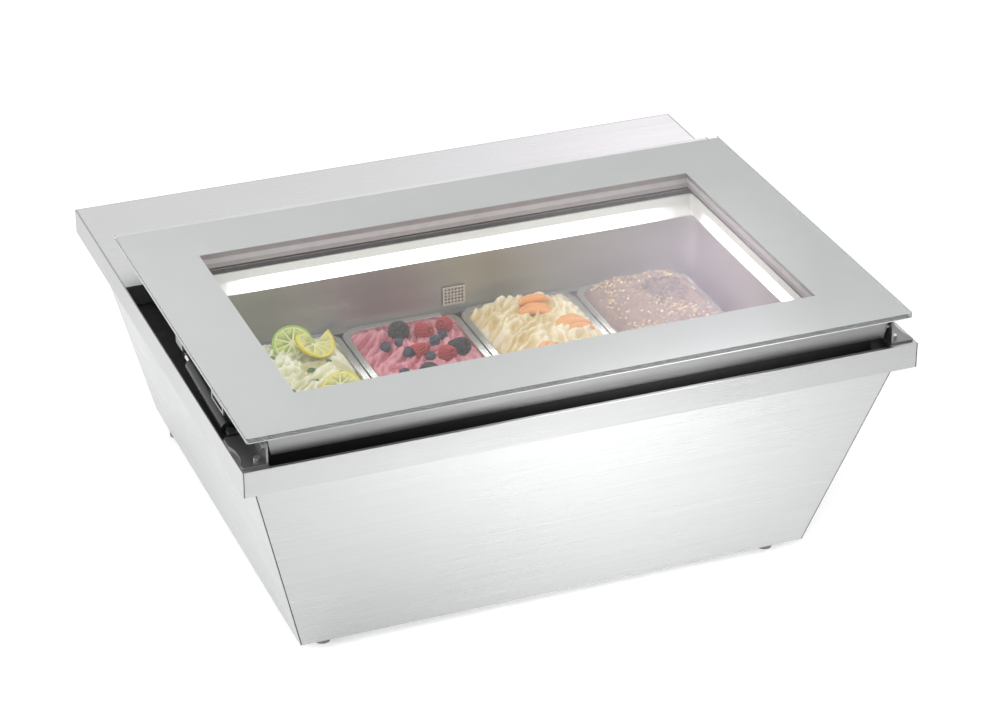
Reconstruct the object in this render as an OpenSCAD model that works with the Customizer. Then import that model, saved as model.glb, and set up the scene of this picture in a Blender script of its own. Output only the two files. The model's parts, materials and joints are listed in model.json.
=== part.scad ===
// Countertop display freezer for scooping ice cream, with a hinged glass lid and four lift-out pans.
// Millimetres. X runs along the counter, the customer stands at -Y and the operator at +Y.
// The origin is on the counter, under the middle of the top rim.

/* [Cabinet] */
// Width over the top rim
body_w = 880; // [800:10:1100]
// Depth over the top rim
body_d = 760; // [700:10:920]
// Height of the cabinet from its bottom tray to the top of the rim
shell_h = 323; // [300:1:400]
// How far each side wall leans in from the rim to the bottom
side_lean = 94; // [40:1:110]
// How far the front wall leans in from the rim to the bottom
front_lean = 102; // [40:1:110]
// How far the rear wall stands in from the rim
rear_step = 10; // [4:1:40]
// Thickness of the cabinet's steel sheet
sheet_t = 1.2; // [0.8:0.1:2]
// Height of the rim's skirt
rim_h = 34; // [28:1:60]
// Thickness of the rim's folded steel
rim_t = 2; // [1.2:0.1:3]
// How far the rim's skirt stands out from the side walls
rim_overhang = 17; // [8:1:30]
// How far the rim's skirt stands out from the front wall
rim_overhang_front = 21; // [8:1:30]
// Depth of the operator's shelf, from the back of the rim
shelf_d = 250; // [200:1:300]
// Height of the feet
foot_h = 20; // [10:1:40]
// Radius of the feet
foot_r = 11; // [8:1:20]

/* [Tank] */
// Distance from each side of the rim to the tank's side wall
tank_side = 91; // [88:1:98]
// Distance from the front of the rim to the tank's front wall
tank_ahead = 104; // [100:1:110]
// Distance from the shelf's front edge to the tank's back wall
tank_behind = 34; // [30:1:40]
// Radius of the tank's corners
tank_r = 25; // [15:1:30]
// Thickness of the tank's sheet
tank_t = 1; // [0.8:0.1:1.5]
// Radius of the cooling tube
coil_r = 4; // [3:0.1:5]

/* [Pans] */
// Height of one pan
pan_h = 120; // [90:1:150]
// Gap between the outer pans and the tank's side walls
pan_beside = 16; // [6:1:20]
// Gap between the pans and the tank's back wall
pan_behind = 4; // [3:1:6]
// Gap between the pans and the tank's front wall
pan_ahead = 8; // [6:1:10]
// Gap between the pans and the tank's floor
pan_below = 11; // [5:1:20]
// Width of the pan's flange
pan_flange = 8; // [6:1:12]
// Thickness of the pan's sheet
pan_t = 1; // [0.8:0.1:1.5]
// Gap between two pans
pan_gap = 2; // [1:0.5:4]
// Depth from the top of the rim to the top of the pans
pan_drop = 101; // [95:1:110]
// How far the ice cream rises above the pan's flange
crown = 22; // [5:1:28]

/* [Lid] */
// Distance from each side of the rim to the side edge of the glass
lid_side = 8; // [6:1:10]
// How far the rear edge of the glass reaches over the shelf
lid_over_shelf = 70; // [62:1:80]
// How far the front edge of the glass stands behind the front of the rim
lid_setback = 4; // [2:1:8]
// Height of the glass top's upper face above the rim
lid_rise = 42; // [38:1:52]
// Thickness of the upper glass
glass_t = 6; // [4:1:8]
// Thickness of the lower glass
pane_t = 4; // [3:1:5]
// Width of the enamelled border at each side
border_side = 88; // [80:1:95]
// Width of the enamelled border at the front
border_front = 93; // [85:1:100]
// Width of the enamelled border at the back
border_rear = 91; // [85:1:100]
// Height of the steel frame's underside above the rim
frame_clear = 6.5; // [4:0.5:8]
// Thickness of the frame's steel
frame_t = 1.5; // [1:0.1:2]
// Radius of the hinge pins
pin_r = 3.5; // [2.5:0.1:4.5]

/* [Gas struts] */
// Radius of the strut's tube
strut_r = 9; // [7:0.5:9]
// Radius of the strut's rod
rod_r = 4; // [3:0.5:5]
// Radius of the studs that the struts turn on
stud_r = 4; // [3:0.5:4]

/* [Machine compartment] */
// Radius of the compressor's can
compressor_r = 66; // [50:1:75]
// Height of the compressor's can
compressor_h = 150; // [120:1:180]
// Radius of the fan's blades
fan_r = 62; // [50:1:75]

/* [Hidden] */

$fn = 48;
// Running clearance between a pin and its bore
run = 0.05;
// Clearance between pieces that only stand next to each other
gap = 0.4;
// Open seam between the front and side panels
seam = 1;
// Longer than anything, for cuts that go right through
far = 3000;

// Heights
z_rim = foot_h + shell_h;
z_skirt = z_rim - rim_h;
z_tray = foot_h;
tray_t = 2;

// Cabinet outline at the skirt and at the bottom
rim_x = body_w / 2;
rim_y = body_d / 2;
skirt_x = rim_x - rim_overhang;
skirt_f = rim_y - rim_overhang_front;
foot_x = rim_x - side_lean;
foot_f = rim_y - front_lean;
back_y = rim_y - rear_step;

// Shelf, tank and insulation
shelf_t = 1.5;
shelf_f = rim_y - shelf_d;
tank_x = rim_x - tank_side;
tank_front = rim_y - tank_ahead;
tank_back = shelf_f - tank_behind;
tank_w = 2 * tank_x;
tank_d = tank_front + tank_back;
tank_drop = pan_drop + pan_h + pan_below;
tank_lip = 24;
tank_flange = 24;
z_tank_top = z_rim - tank_lip;
z_tank_floor = z_rim - tank_drop;
foam_behind = 54;
foam_back = tank_back + foam_behind;
machine_y = (foam_back + back_y) / 2;

// Collar round the tank's mouth, and the light behind its diffuser
collar_side = 47;
collar_ahead = 56;
collar_x = tank_x + collar_side;
collar_f = tank_front + collar_ahead;
collar_b = shelf_f;
// How far the mouth's upper edge flares out from the tank at each side, in front and behind
flare_side = 6;
flare_ahead = 14;
flare_behind = tank_behind / 2;
mouth_x = tank_x + flare_side;
mouth_f = tank_front + flare_ahead;
mouth_b = tank_back + flare_behind;
diffuser_t = 2.8;
led_groove = 5;

// Channel between the rim and the collar
channel_drop = rim_h - rim_t;
channel_t = 2;

// Pans
pan_w = (tank_w - 2 * pan_beside - 3 * pan_gap) / 4;
pan_l = tank_d - pan_behind - pan_ahead;
pan_pitch = pan_w + pan_gap;
pan_body_w = pan_w - 2 * pan_flange;
pan_body_l = pan_l - 2 * pan_flange;
pan_r = 24;
pan_mid = tank_back - pan_behind - pan_l / 2;
z_pan = z_rim - pan_drop;
rail_t = 1.5;
z_rail = z_pan - pan_t;
rail_drop = 14;

// Lid
lid_w = body_w - 2 * lid_side;
glass_f = rim_y - lid_setback;
glass_b = shelf_f + lid_over_shelf;
lid_d = glass_f + glass_b;
z_glass = z_rim + lid_rise - glass_t;
enamel_t = 1;
z_frame_top = z_glass - enamel_t;
z_frame = z_rim + frame_clear;
frame_h = z_frame_top - z_frame;
window_x = lid_w / 2 - border_side;
window_f = glass_f - border_front;
window_b = glass_b - border_rear;
frame_x = lid_w / 2 - 26.5;
frame_x_low = frame_x - 5.5;
frame_f = glass_f - 10;
frame_f_low = frame_f - 3.3;
frame_b = glass_b - 40;
// Half width, front and back of the frame's lower and upper outlines
frame_low = [frame_x_low, frame_f_low, frame_b - 2];
frame_high = [frame_x, frame_f, frame_b];
opening_x = window_x + 11;
opening_f = window_f + 7;
opening_b = window_b + 5;
spacer_in = 5;
spacer_out = 14;
gasket_w = 12;
gasket_gap = 0.3;

// Hinge: axis along X through both front corners
hinge_back = 18;
hinge_below = 15;
hinge_y = -(glass_f - hinge_back);
hinge_z = z_frame_top - hinge_below;
leaf_t = 2.5;
leaf_x = frame_x + 0.5;
leaf_r = z_frame_top - hinge_z - 0.5;
leaf_w = 31.5;
leaf_l = 77;
leaf_f = -hinge_y + leaf_r;
block_t = 10;
corner_plate_w = 34;
bolt_x = leaf_x + 10;
bolt_y = hinge_y - 1;

// Gas struts, between the anchor on the cabinet and the bracket on the lid
strut_x = lid_w / 2 - 9;
anchor_back = 76;
anchor_below = 2;
lug_back = 262;
lug_above = 12;
anchor_y = hinge_y + anchor_back;
anchor_z = z_rim - anchor_below;
lug_y = hinge_y + lug_back;
lug_z = z_rim + lug_above;
strut_len = norm([lug_y - anchor_y, lug_z - anchor_z]);
strut_pitch = atan2(lug_z - anchor_z, lug_y - anchor_y);
eye_r = 7;
eye_w = 8;
tube_start = 12;
tube_end = strut_len - 26;
rod_start = 60;
bracket_in = strut_x - 12;
bracket_t = 2.5;

// Sensor cover on the tank's back wall
cover_w = 32;
cover_h = 27;
cover_t = 3;
cover_z = z_rim - 80;
cover_hole_pitch = 4.7;
cover_hole_r = 1.6;
cover_columns = 6;
cover_rows = 5;
cover_deep = 6;
probe_l = 21;

// Machine compartment
z_machine = z_tray + tray_t;
compressor_x = -200;
compressor_seam = 2.5;
fan_x = 90;
shroud_w = 2 * fan_r + 26;
shroud_t = 14;
fan_z = z_machine + 18 + shroud_w / 2;
hub_r = 19;
condenser_x = 180;
condenser_t = 52;
condenser_room = 40;
condenser_l = back_y - foam_back - condenser_room;
fin_pitch = 12;
fin_t = 0.8;
tube_rows = 6;
tube_columns = 2;
tube_pitch = 26;
header_low = 0.58 * tube_pitch - 6;
header_l = (tube_rows - 1) * tube_pitch + 12;
coil_rows = 5;
coil_off = coil_r + 0.3;
foam_gap = 2 * coil_off + 0.4;
coil_below = 38;
coil_above = 34;
z_coil = z_tank_top - coil_below;
coil_pitch = (z_coil - z_tank_floor - coil_above) / (coil_rows - 1);
header_x = -280;
drier_x = -70;

// Controls on the rear panel
control_x = 215;
control_z = z_rim - 78;
control_w = 76;
control_h = 34;
bezel_t = 4;
key_w = 9;
key_x0 = 8;
key_pitch = 12;
key_proud = 1.8;
switch_x = 215;
switch_z = z_rim - 132;
inlet_x = 275;
inlet_z = z_rim - 188;
screw_r = 2;

function shell_x(z) = foot_x + (skirt_x - foot_x) * (z - z_tray) / (z_skirt - z_tray);
function shell_f(z) = foot_f + (skirt_f - foot_f) * (z - z_tray) / (z_skirt - z_tray);

// A profile in the Y-Z plane, swept along X
module along_x(length) {
    rotate([90, 0, 90]) linear_extrude(length, center = true) children();
}

// A profile in the X-Z plane, swept along Y
module along_y(length) {
    rotate([90, 0, 0]) linear_extrude(length, center = true) children();
}

// A block that tapers from its lower outline to its upper one. Each outline is [half width, front, back].
module taper(z_low, z_high, low, high) {
    intersection() {
        along_y(far)
            polygon([[-low[0], z_low], [low[0], z_low], [high[0], z_high], [-high[0], z_high]]);
        along_x(far)
            polygon([[-low[1], z_low], [low[2], z_low], [high[2], z_high], [-high[1], z_high]]);
    }
}

// A plain block between two outlines of the same [half width, front, back]
module block(z_low, z_high, out) {
    translate([-out[0], -out[1], z_low]) cube([2 * out[0], out[1] + out[2], z_high - z_low]);
}

// The inside of the sloping shell, up to the skirt, less an allowance
module shell_space(z_low, z_high, less = 0) {
    taper(z_low, z_high,
        [shell_x(z_low) - less, shell_f(z_low) - less, back_y - less],
        [shell_x(z_high) - less, shell_f(z_high) - less, back_y - less]);
}

module rounded_rect(w, d, r) {
    square([w - 2 * r, d], center = true);
    square([w, d - 2 * r], center = true);
    for (x = [-1, 1], y = [-1, 1]) translate([x * (w / 2 - r), y * (d / 2 - r)]) circle(r);
}

// A deep-drawn vessel's outer shape: rounded corners and a rounded lower edge, standing on z = 0
module vessel(w, d, h, r) {
    cx = w / 2 - r;
    cy = d / 2 - r;
    translate([0, 0, r]) linear_extrude(h - r) rounded_rect(w, d, r);
    translate([-cx, -cy, 0]) cube([2 * cx, 2 * cy, r]);
    for (s = [-1, 1]) {
        translate([-cx, s * cy, r]) rotate([0, 90, 0]) cylinder(r = r, h = 2 * cx);
        translate([s * cx, -cy, r]) rotate([-90, 0, 0]) cylinder(r = r, h = 2 * cy);
        for (t = [-1, 1]) translate([s * cx, t * cy, r]) sphere(r);
    }
}

// A round tube through a list of points, with a ball at each bend
module pipe(points, r) {
    for (i = [0:len(points) - 2]) {
        v = points[i + 1] - points[i];
        translate(points[i])
            rotate([0, acos(v[2] / norm(v)), atan2(v[1], v[0])]) cylinder(r = r, h = norm(v));
        if (i > 0) translate(points[i]) sphere(r);
    }
}

module pan_head_screw(length) {
    cylinder(r = 3.6, h = 2);
    translate([0, 0, -length]) cylinder(r = screw_r - 0.1, h = length);
}

// ---- Cabinet ----

module foot_places() {
    for (s = [-1, 1]) {
        translate([s * (foot_x - 39), -(foot_f - 33), 0]) children();
        translate([s * (foot_x - 16), back_y - 48, 0]) children();
    }
}

module base_tray() {
    color([0.62, 0.63, 0.64]) difference() {
        shell_space(z_tray, z_tray + tray_t, sheet_t);
        foot_places() cylinder(r = screw_r, h = far);
        for (i = [0:9])
            translate([60 + i * 16, machine_y - 50, z_tray - 1]) cube([6, 100, tray_t + 2]);
    }
}

module front_panel() {
    color([0.80, 0.81, 0.81]) intersection() {
        along_x(far) polygon([
            [-foot_f, z_tray], [-(foot_f - sheet_t), z_tray],
            [-(skirt_f - sheet_t), z_skirt], [-skirt_f, z_skirt]
        ]);
        along_y(far) polygon([
            [-(foot_x - sheet_t - seam), z_tray], [foot_x - sheet_t - seam, z_tray],
            [skirt_x - sheet_t - seam, z_skirt], [-(skirt_x - sheet_t - seam), z_skirt]
        ]);
    }
}

module side_panel(s) {
    color([0.78, 0.79, 0.79]) intersection() {
        along_y(far) polygon([
            [s * foot_x, z_tray], [s * (foot_x - sheet_t), z_tray],
            [s * (skirt_x - sheet_t), z_skirt], [s * skirt_x, z_skirt]
        ]);
        along_x(far) polygon([
            [-foot_f, z_tray], [back_y, z_tray], [back_y, z_skirt], [-skirt_f, z_skirt]
        ]);
    }
}

module left_panel() {
    side_panel(-1);
}

module right_panel() {
    side_panel(1);
}

module screw_places() {
    for (x = [-1, 1], z = [z_tray + 22, z_skirt - 14])
        translate([x * (shell_x(z) - 16), back_y, z]) rotate([-90, 0, 0]) children();
    for (x = [-120, 60])
        translate([x, back_y, z_skirt - 14]) rotate([-90, 0, 0]) children();
}

module rear_panel() {
    color([0.76, 0.77, 0.77]) difference() {
        intersection() {
            translate([-far / 2, back_y - sheet_t, z_tray]) cube([far, sheet_t, z_skirt - z_tray]);
            shell_space(z_tray, z_skirt, 0);
            taper(z_tray, z_skirt,
                [foot_x - sheet_t, far, far], [skirt_x - sheet_t, far, far]);
        }
        for (row = [0:8], x = [-270, -160, -50])
            translate([x, back_y - 5, z_tray + 50 + row * 16]) cube([90, 10, 6]);
        translate([control_x - control_w / 2 + 3, back_y - 5, control_z - control_h / 2 + 3])
            cube([control_w - 6, 10, control_h - 6]);
        translate([switch_x - 13, back_y - 5, switch_z - 15]) cube([26, 10, 30]);
        translate([inlet_x - 14, back_y - 5, inlet_z - 11]) cube([28, 10, 22]);
        screw_places() cylinder(r = screw_r, h = 20, center = true);
    }
}

module cabinet_screws() {
    color([0.55, 0.56, 0.58]) {
        screw_places() pan_head_screw(8);
        foot_places() translate([0, 0, foot_h - 6]) {
            cylinder(r = 4, h = 2.5);
            cylinder(r = screw_r - 0.1, h = 6 + tray_t + 4);
            translate([0, 0, 6 + tray_t]) cylinder(r = 4, h = 3.2);
        }
    }
}

module feet() {
    color([0.20, 0.20, 0.21]) foot_places() difference() {
        cylinder(r1 = foot_r - 0.8, r2 = foot_r, h = foot_h);
        translate([0, 0, -1]) cylinder(r = 4.2, h = foot_h - 6 + 1);
        cylinder(r = screw_r, h = far);
        translate([0, 0, foot_h - 6]) cylinder(r = 4.2, h = 2.6);
    }
}

module rim_frame() {
    color([0.83, 0.84, 0.84]) {
        difference() {
            block(z_skirt, z_rim, [rim_x, rim_y, rim_y]);
            block(z_skirt + rim_t, z_rim + 1, [rim_x - rim_t, rim_y - rim_t, rim_y - rim_t]);
            block(z_skirt - 1, z_rim, [skirt_x - sheet_t, skirt_f - sheet_t, back_y - sheet_t]);
        }
        // Folded hem along the front
        translate([-(rim_x - rim_t), -(rim_y - rim_t), z_rim - rim_t])
            cube([2 * (rim_x - rim_t), 3, rim_t]);
        // Plates across the front corners, which carry the hinges
        for (s = [-1, 1]) {
            x = s > 0 ? rim_x - rim_t - corner_plate_w : -(rim_x - rim_t);
            translate([x, -(rim_y - rim_t), z_rim - rim_t])
                cube([corner_plate_w, leaf_l + 4, rim_t]);
            // Web below each plate, down to the skirt's return
            translate([x, -(rim_y - rim_t), z_skirt + rim_t])
                cube([corner_plate_w, 1.5, rim_h - 2 * rim_t]);
        }
    }
}

module channel_tray() {
    z = z_rim - channel_drop;
    wall_x = collar_x + gap;
    wall_f = collar_f + gap;
    back = shelf_f - gap;
    color([0.08, 0.08, 0.085]) {
        difference() {
            block(z, z + channel_t, [rim_x - rim_t - gap, rim_y - rim_t - 1.5 - gap, back]);
            block(z - 1, z_rim, [wall_x, wall_f, far]);
        }
        // Upright edge against the collar
        difference() {
            block(z, z_rim - 2, [wall_x + channel_t, wall_f + channel_t, back]);
            block(z - 1, z_rim, [wall_x, wall_f, far]);
        }
    }
}

module rear_shelf() {
    x = rim_x - rim_t;
    y = rim_y - rim_t;
    color([0.84, 0.85, 0.85]) {
        translate([-x, shelf_f, z_rim - shelf_t]) cube([2 * x, y - shelf_f, shelf_t]);
        // Front edge folded down
        translate([-x, shelf_f, z_rim - 28]) cube([2 * x, shelf_t, 28]);
        // Back edge folded down
        translate([-x, y - shelf_t, z_rim - 24]) cube([2 * x, shelf_t, 24]);
    }
}

// ---- Tank ----

module tank_vessel(more) {
    mid = (tank_back - tank_front) / 2;
    translate([0, mid, z_tank_floor - more])
        vessel(tank_w + 2 * more, tank_d + 2 * more, z_tank_top - z_tank_floor + more, tank_r + more);
}

// One turn of tube round the tank
module coil_turn(r) {
    mid = (tank_back - tank_front) / 2;
    bend = tank_r + tank_t;
    cx = tank_x - tank_r;
    cy = tank_d / 2 - tank_r;
    reach = bend + coil_off;
    translate([0, mid, 0]) {
        for (s = [-1, 1]) {
            translate([-cx, s * (cy + reach), 0]) rotate([0, 90, 0]) cylinder(r = r, h = 2 * cx);
            translate([s * (cx + reach), -cy, 0]) rotate([-90, 0, 0]) cylinder(r = r, h = 2 * cy);
        }
        for (q = [[1, 1, 0], [-1, 1, 90], [-1, -1, 180], [1, -1, 270]])
            translate([q[0] * cx, q[1] * cy, 0])
                rotate([0, 0, q[2]]) rotate_extrude(angle = 90) translate([reach, 0]) circle(r);
    }
}

module coil_tubes(r) {
    y = tank_back + tank_t + coil_off;
    z_low = z_coil - (coil_rows - 1) * coil_pitch;
    for (i = [0:coil_rows - 1]) translate([0, 0, z_coil - i * coil_pitch]) coil_turn(r);
    translate([header_x, y, z_low]) cylinder(r = r, h = z_coil - z_low);
    for (z = [z_low, z_coil])
        translate([header_x, y, z]) rotate([-90, 0, 0]) cylinder(r = r, h = foam_back + 12 - y);
}

module cooling_coil() {
    color([0.72, 0.42, 0.25]) coil_tubes(coil_r);
}

module insulation() {
    y_tube = tank_back + tank_t + coil_off;
    z_low = z_coil - (coil_rows - 1) * coil_pitch;
    color([0.90, 0.84, 0.62]) difference() {
        union() {
            intersection() {
                shell_space(z_tray + tray_t, z_skirt, sheet_t + 0.2);
                block(z_tray, z_rim, [far, far, foam_back]);
            }
            // Raised step that carries the tank's flange and the collar
            block(z_skirt, z_tank_top - tank_t, [collar_x, collar_f, collar_b]);
        }
        tank_vessel(tank_t + foam_gap);
        for (z = [z_low, z_coil])
            translate([header_x, y_tube, z]) rotate([-90, 0, 0]) cylinder(r = coil_r + 0.4, h = far);
        // Pockets for the nuts over the front feet
        foot_places() cylinder(r = 5.5, h = foot_h + tray_t + 5);
    }
}

module tank_liner() {
    color([0.66, 0.66, 0.65]) difference() {
        union() {
            tank_vessel(tank_t);
            block(z_tank_top - tank_t, z_tank_top,
                [tank_x + tank_flange, tank_front + tank_flange, tank_back + tank_flange]);
        }
        tank_vessel(0);
        // Open mouth
        translate([0, (tank_back - tank_front) / 2, z_tank_top - tank_t - 1])
            linear_extrude(far) rounded_rect(tank_w, tank_d, tank_r);
        translate([0, tank_back, cover_z]) cube([cover_w - 8, 20, cover_h - 8], center = true);
    }
}

module mouth(z_low, z_high, more) {
    taper(z_low, z_high,
        [tank_x + more, tank_front + more, tank_back + more],
        [mouth_x + more, mouth_f + more, mouth_b + more]);
}

module tank_collar() {
    color([0.74, 0.75, 0.75]) difference() {
        block(z_rim - tank_lip, z_rim, [collar_x, collar_f, collar_b]);
        mouth(z_rim - tank_lip, z_rim, diffuser_t);
        mouth(z_rim - tank_lip - 1, z_rim - tank_lip, 0);
        block(z_rim - tank_lip + 3, z_rim - 5,
            [mouth_x + led_groove, mouth_f + led_groove, mouth_b + led_groove]);
    }
}

module light_diffuser() {
    color([0.97, 0.97, 0.95]) difference() {
        mouth(z_rim - tank_lip, z_rim, diffuser_t);
        mouth(z_rim - tank_lip, z_rim, 0);
    }
}

module led_strip(length) {
    step = 20;
    count = floor((length - 10) / step);
    rotate([90, 0, 0]) {
        translate([0, 0, 0.6]) cube([length, 12, 1.2], center = true);
        for (i = [0:count - 1])
            translate([(i - (count - 1) / 2) * step, 0, 1.6]) cube([5, 5, 0.8], center = true);
    }
}

module led_strips() {
    z = z_rim - 14;
    mid = (tank_back - tank_front) / 2;
    side = mouth_x + led_groove;
    color([0.93, 0.93, 0.88]) {
        translate([0, mouth_b + led_groove, z]) led_strip(tank_w - 110);
        translate([side, mid, z]) rotate([0, 0, -90]) led_strip(tank_d - 90);
        translate([-side, mid, z]) rotate([0, 0, 90]) led_strip(tank_d - 90);
    }
}

module sensor_cover() {
    color([0.84, 0.80, 0.72]) difference() {
        union() {
            translate([0, tank_back - cover_t / 2, cover_z])
                cube([cover_w, cover_t, cover_h], center = true);
            translate([0, tank_back + cover_deep / 2, cover_z])
                cube([cover_w - 8.4, cover_deep, cover_h - 8.4], center = true);
        }
        translate([0, tank_back + cover_deep / 2, cover_z])
            cube([probe_l, cover_deep + 2, cover_h - 11], center = true);
        for (i = [0:cover_columns - 1], j = [0:cover_rows - 1]) {
            x = (i - (cover_columns - 1) / 2) * cover_hole_pitch;
            z = (j - (cover_rows - 1) / 2) * cover_hole_pitch;
            translate([x, tank_back, cover_z + z])
                rotate([90, 0, 0]) cylinder(r = cover_hole_r, h = cover_t + 1);
        }
    }
}

module temperature_probe() {
    color([0.70, 0.70, 0.70]) translate([0, tank_back + 4, cover_z]) rotate([0, 90, 0]) {
        cylinder(r = 2.5, h = probe_l - 5, center = true);
        cylinder(r = 0.9, h = probe_l, center = true);
    }
}

module pan_rails() {
    x = tank_x - tank_r;
    ledge_f = pan_mid - pan_body_l / 2 - 1;
    ledge_b = pan_mid + pan_body_l / 2 + 1;
    color([0.70, 0.70, 0.70]) {
        translate([-x, ledge_b, z_rail - rail_t]) cube([2 * x, tank_back - ledge_b, rail_t]);
        translate([-x, tank_back - rail_t, z_rail - rail_drop]) cube([2 * x, rail_t, rail_drop]);
        translate([-x, -tank_front, z_rail - rail_t]) cube([2 * x, ledge_f + tank_front, rail_t]);
        translate([-x, -tank_front, z_rail - rail_drop]) cube([2 * x, rail_t, rail_drop]);
    }
}

// ---- Pans ----

module pan_place(i) {
    translate([(i - 2.5) * pan_pitch, pan_mid, z_pan]) children();
}

module pan(i) {
    color([0.78, 0.78, 0.77]) pan_place(i) difference() {
        union() {
            translate([0, 0, -pan_h]) vessel(pan_body_w, pan_body_l, pan_h, pan_r);
            translate([0, 0, -pan_t]) linear_extrude(pan_t) rounded_rect(pan_w, pan_l, pan_r + 4);
        }
        translate([0, 0, -pan_h + pan_t])
            vessel(pan_body_w - 2 * pan_t, pan_body_l - 2 * pan_t, pan_h, pan_r - pan_t);
    }
}

// Ice cream in a pan: it fills the pan and rises to a crown in the middle
module ice_cream(i, shade) {
    w = pan_body_w - 2 * pan_t - 0.4;
    l = pan_body_l - 2 * pan_t - 0.4;
    r_w = (w * w / 4 + crown * crown) / (2 * crown);
    r_l = (l * l / 4 + crown * crown) / (2 * crown);
    color(shade) pan_place(i) intersection() {
        translate([0, 0, -pan_h + pan_t + 0.2]) vessel(w, l, pan_h + crown, pan_r - pan_t);
        translate([0, 0, crown - r_w]) rotate([90, 0, 0]) cylinder(r = r_w, h = far, center = true, $fn = 96);
        translate([0, 0, crown - r_l]) rotate([0, 90, 0]) cylinder(r = r_l, h = far, center = true, $fn = 96);
    }
}

module pan_1() { pan(1); }
module pan_2() { pan(2); }
module pan_3() { pan(3); }
module pan_4() { pan(4); }
module ice_cream_1() { ice_cream(1, [0.93, 0.92, 0.80]); }
module ice_cream_2() { ice_cream(2, [0.86, 0.52, 0.58]); }
module ice_cream_3() { ice_cream(3, [0.95, 0.89, 0.75]); }
module ice_cream_4() { ice_cream(4, [0.62, 0.48, 0.40]); }

// ---- Cooling machine ----

module compressor() {
    r = compressor_r;
    h = compressor_h;
    dome = 26;
    z = z_machine + 16;
    color([0.07, 0.07, 0.08]) translate([compressor_x, machine_y, z]) {
        // Can with domed ends and a welded seam
        rotate_extrude($fn = 72) {
            translate([0, dome / 2]) square([r, h - dome]);
            intersection() {
                translate([0, h - dome / 2]) half_ellipse(r, dome / 2);
                translate([0, h - dome]) square([r, dome]);
            }
            intersection() {
                translate([0, dome / 2]) half_ellipse(r, dome / 2);
                square([r, dome]);
            }
        }
        translate([0, 0, h * 0.55]) cylinder(r = r + compressor_seam, h = 4, $fn = 72);
        // Foot plate
        translate([-r - 8, -r - 8, 0]) cube([2 * r + 16, 2 * r + 16, 3]);
        // Terminal box on the side
        translate([-r - 20, -24, h * 0.28]) cube([30, 48, 44]);
        // Suction and discharge stubs
        translate([r * 0.55, r * 0.55, h * 0.62]) cylinder(r = 5, h = h * 0.38 + 4);
        translate([-r * 0.55, r * 0.4, h * 0.62]) cylinder(r = 4, h = h * 0.38 + 4);
    }
}

// Half outline of a flat dome, as an ellipse written point by point
module half_ellipse(a, b) {
    steps = 12;
    polygon(concat([[0, -b], [0, b]],
        [for (i = [1:2 * steps - 1]) [a * sin(180 * i / (2 * steps)), b * cos(180 * i / (2 * steps))]]));
}

module grommet_places() {
    reach = compressor_r - 2;
    for (x = [-1, 1], y = [-1, 1])
        translate([compressor_x + x * reach, machine_y + y * reach, z_machine]) children();
}

module compressor_grommets() {
    color([0.12, 0.12, 0.12]) grommet_places() {
        cylinder(r = 9, h = 6);
        cylinder(r = 7, h = 16);
    }
}

module condenser() {
    fins = floor(condenser_l / fin_pitch) + 1;
    height = tube_rows * tube_pitch + 4;
    color([0.70, 0.71, 0.72]) translate([condenser_x, machine_y, z_machine]) {
        for (i = [0:fins - 1])
            translate([0, -condenser_l / 2 + i * fin_pitch, 0]) cube([condenser_t, fin_t, height]);
        for (row = [0:tube_rows - 1], column = [0:tube_columns - 1])
            translate([condenser_t * (column + 0.5) / tube_columns, -condenser_l / 2 - 6,
                (row + 0.58) * tube_pitch])
                rotate([-90, 0, 0]) cylinder(r = 4, h = condenser_l + 12);
        // Headers that join the tubes at both ends
        for (s = [-1, 1], column = [0:tube_columns - 1])
            translate([condenser_t * (column + 0.5) / tube_columns, s * (condenser_l / 2 + 6), header_low])
                cylinder(r = 4.5, h = header_l);
        translate([condenser_t / 4, condenser_l / 2 + 6, 1.5 * tube_pitch])
            rotate([0, 90, 0]) cylinder(r = 3.5, h = condenser_t / 2);
    }
}

module fan_shroud() {
    color([0.10, 0.10, 0.10]) translate([fan_x, machine_y, fan_z]) difference() {
        union() {
            translate([0, -shroud_w / 2, -shroud_w / 2]) cube([2, shroud_w, shroud_w]);
            rotate([0, 90, 0]) cylinder(r = fan_r + 5, h = shroud_t, $fn = 96);
            // Feet down to the tray
            for (s = [-1, 1])
                translate([0, s * (shroud_w / 2 - 12) - 8, z_machine - fan_z])
                    cube([18, 16, 2]);
            for (s = [-1, 1])
                translate([0, s * (shroud_w / 2 - 12) - 8, z_machine - fan_z])
                    cube([2, 16, 40]);
        }
        translate([-1, 0, 0]) rotate([0, 90, 0]) cylinder(r = fan_r + 2.5, h = shroud_t + 2, $fn = 96);
    }
}

module fan_motor() {
    color([0.16, 0.16, 0.17]) translate([fan_x, machine_y, fan_z]) {
        translate([shroud_t + 6, 0, 0]) rotate([0, 90, 0]) cylinder(r = 24, h = 34);
        // Shaft that carries the blades
        translate([-4, 0, 0]) rotate([0, 90, 0]) cylinder(r = 3, h = shroud_t + 12);
        // Arms out to the shroud
        for (a = [45:90:315]) rotate([a, 0, 0])
            translate([shroud_t, -4, 15]) cube([4, 8, fan_r - 10.5]);
        translate([shroud_t, 0, 0]) rotate([0, 90, 0])
            difference() {
                cylinder(r = 20, h = 8);
                translate([0, 0, -1]) cylinder(r = 8, h = 10);
            }
        translate([shroud_t + 5, 0, 0]) rotate([0, 90, 0]) cylinder(r = 20, h = 3);
    }
}

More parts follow.
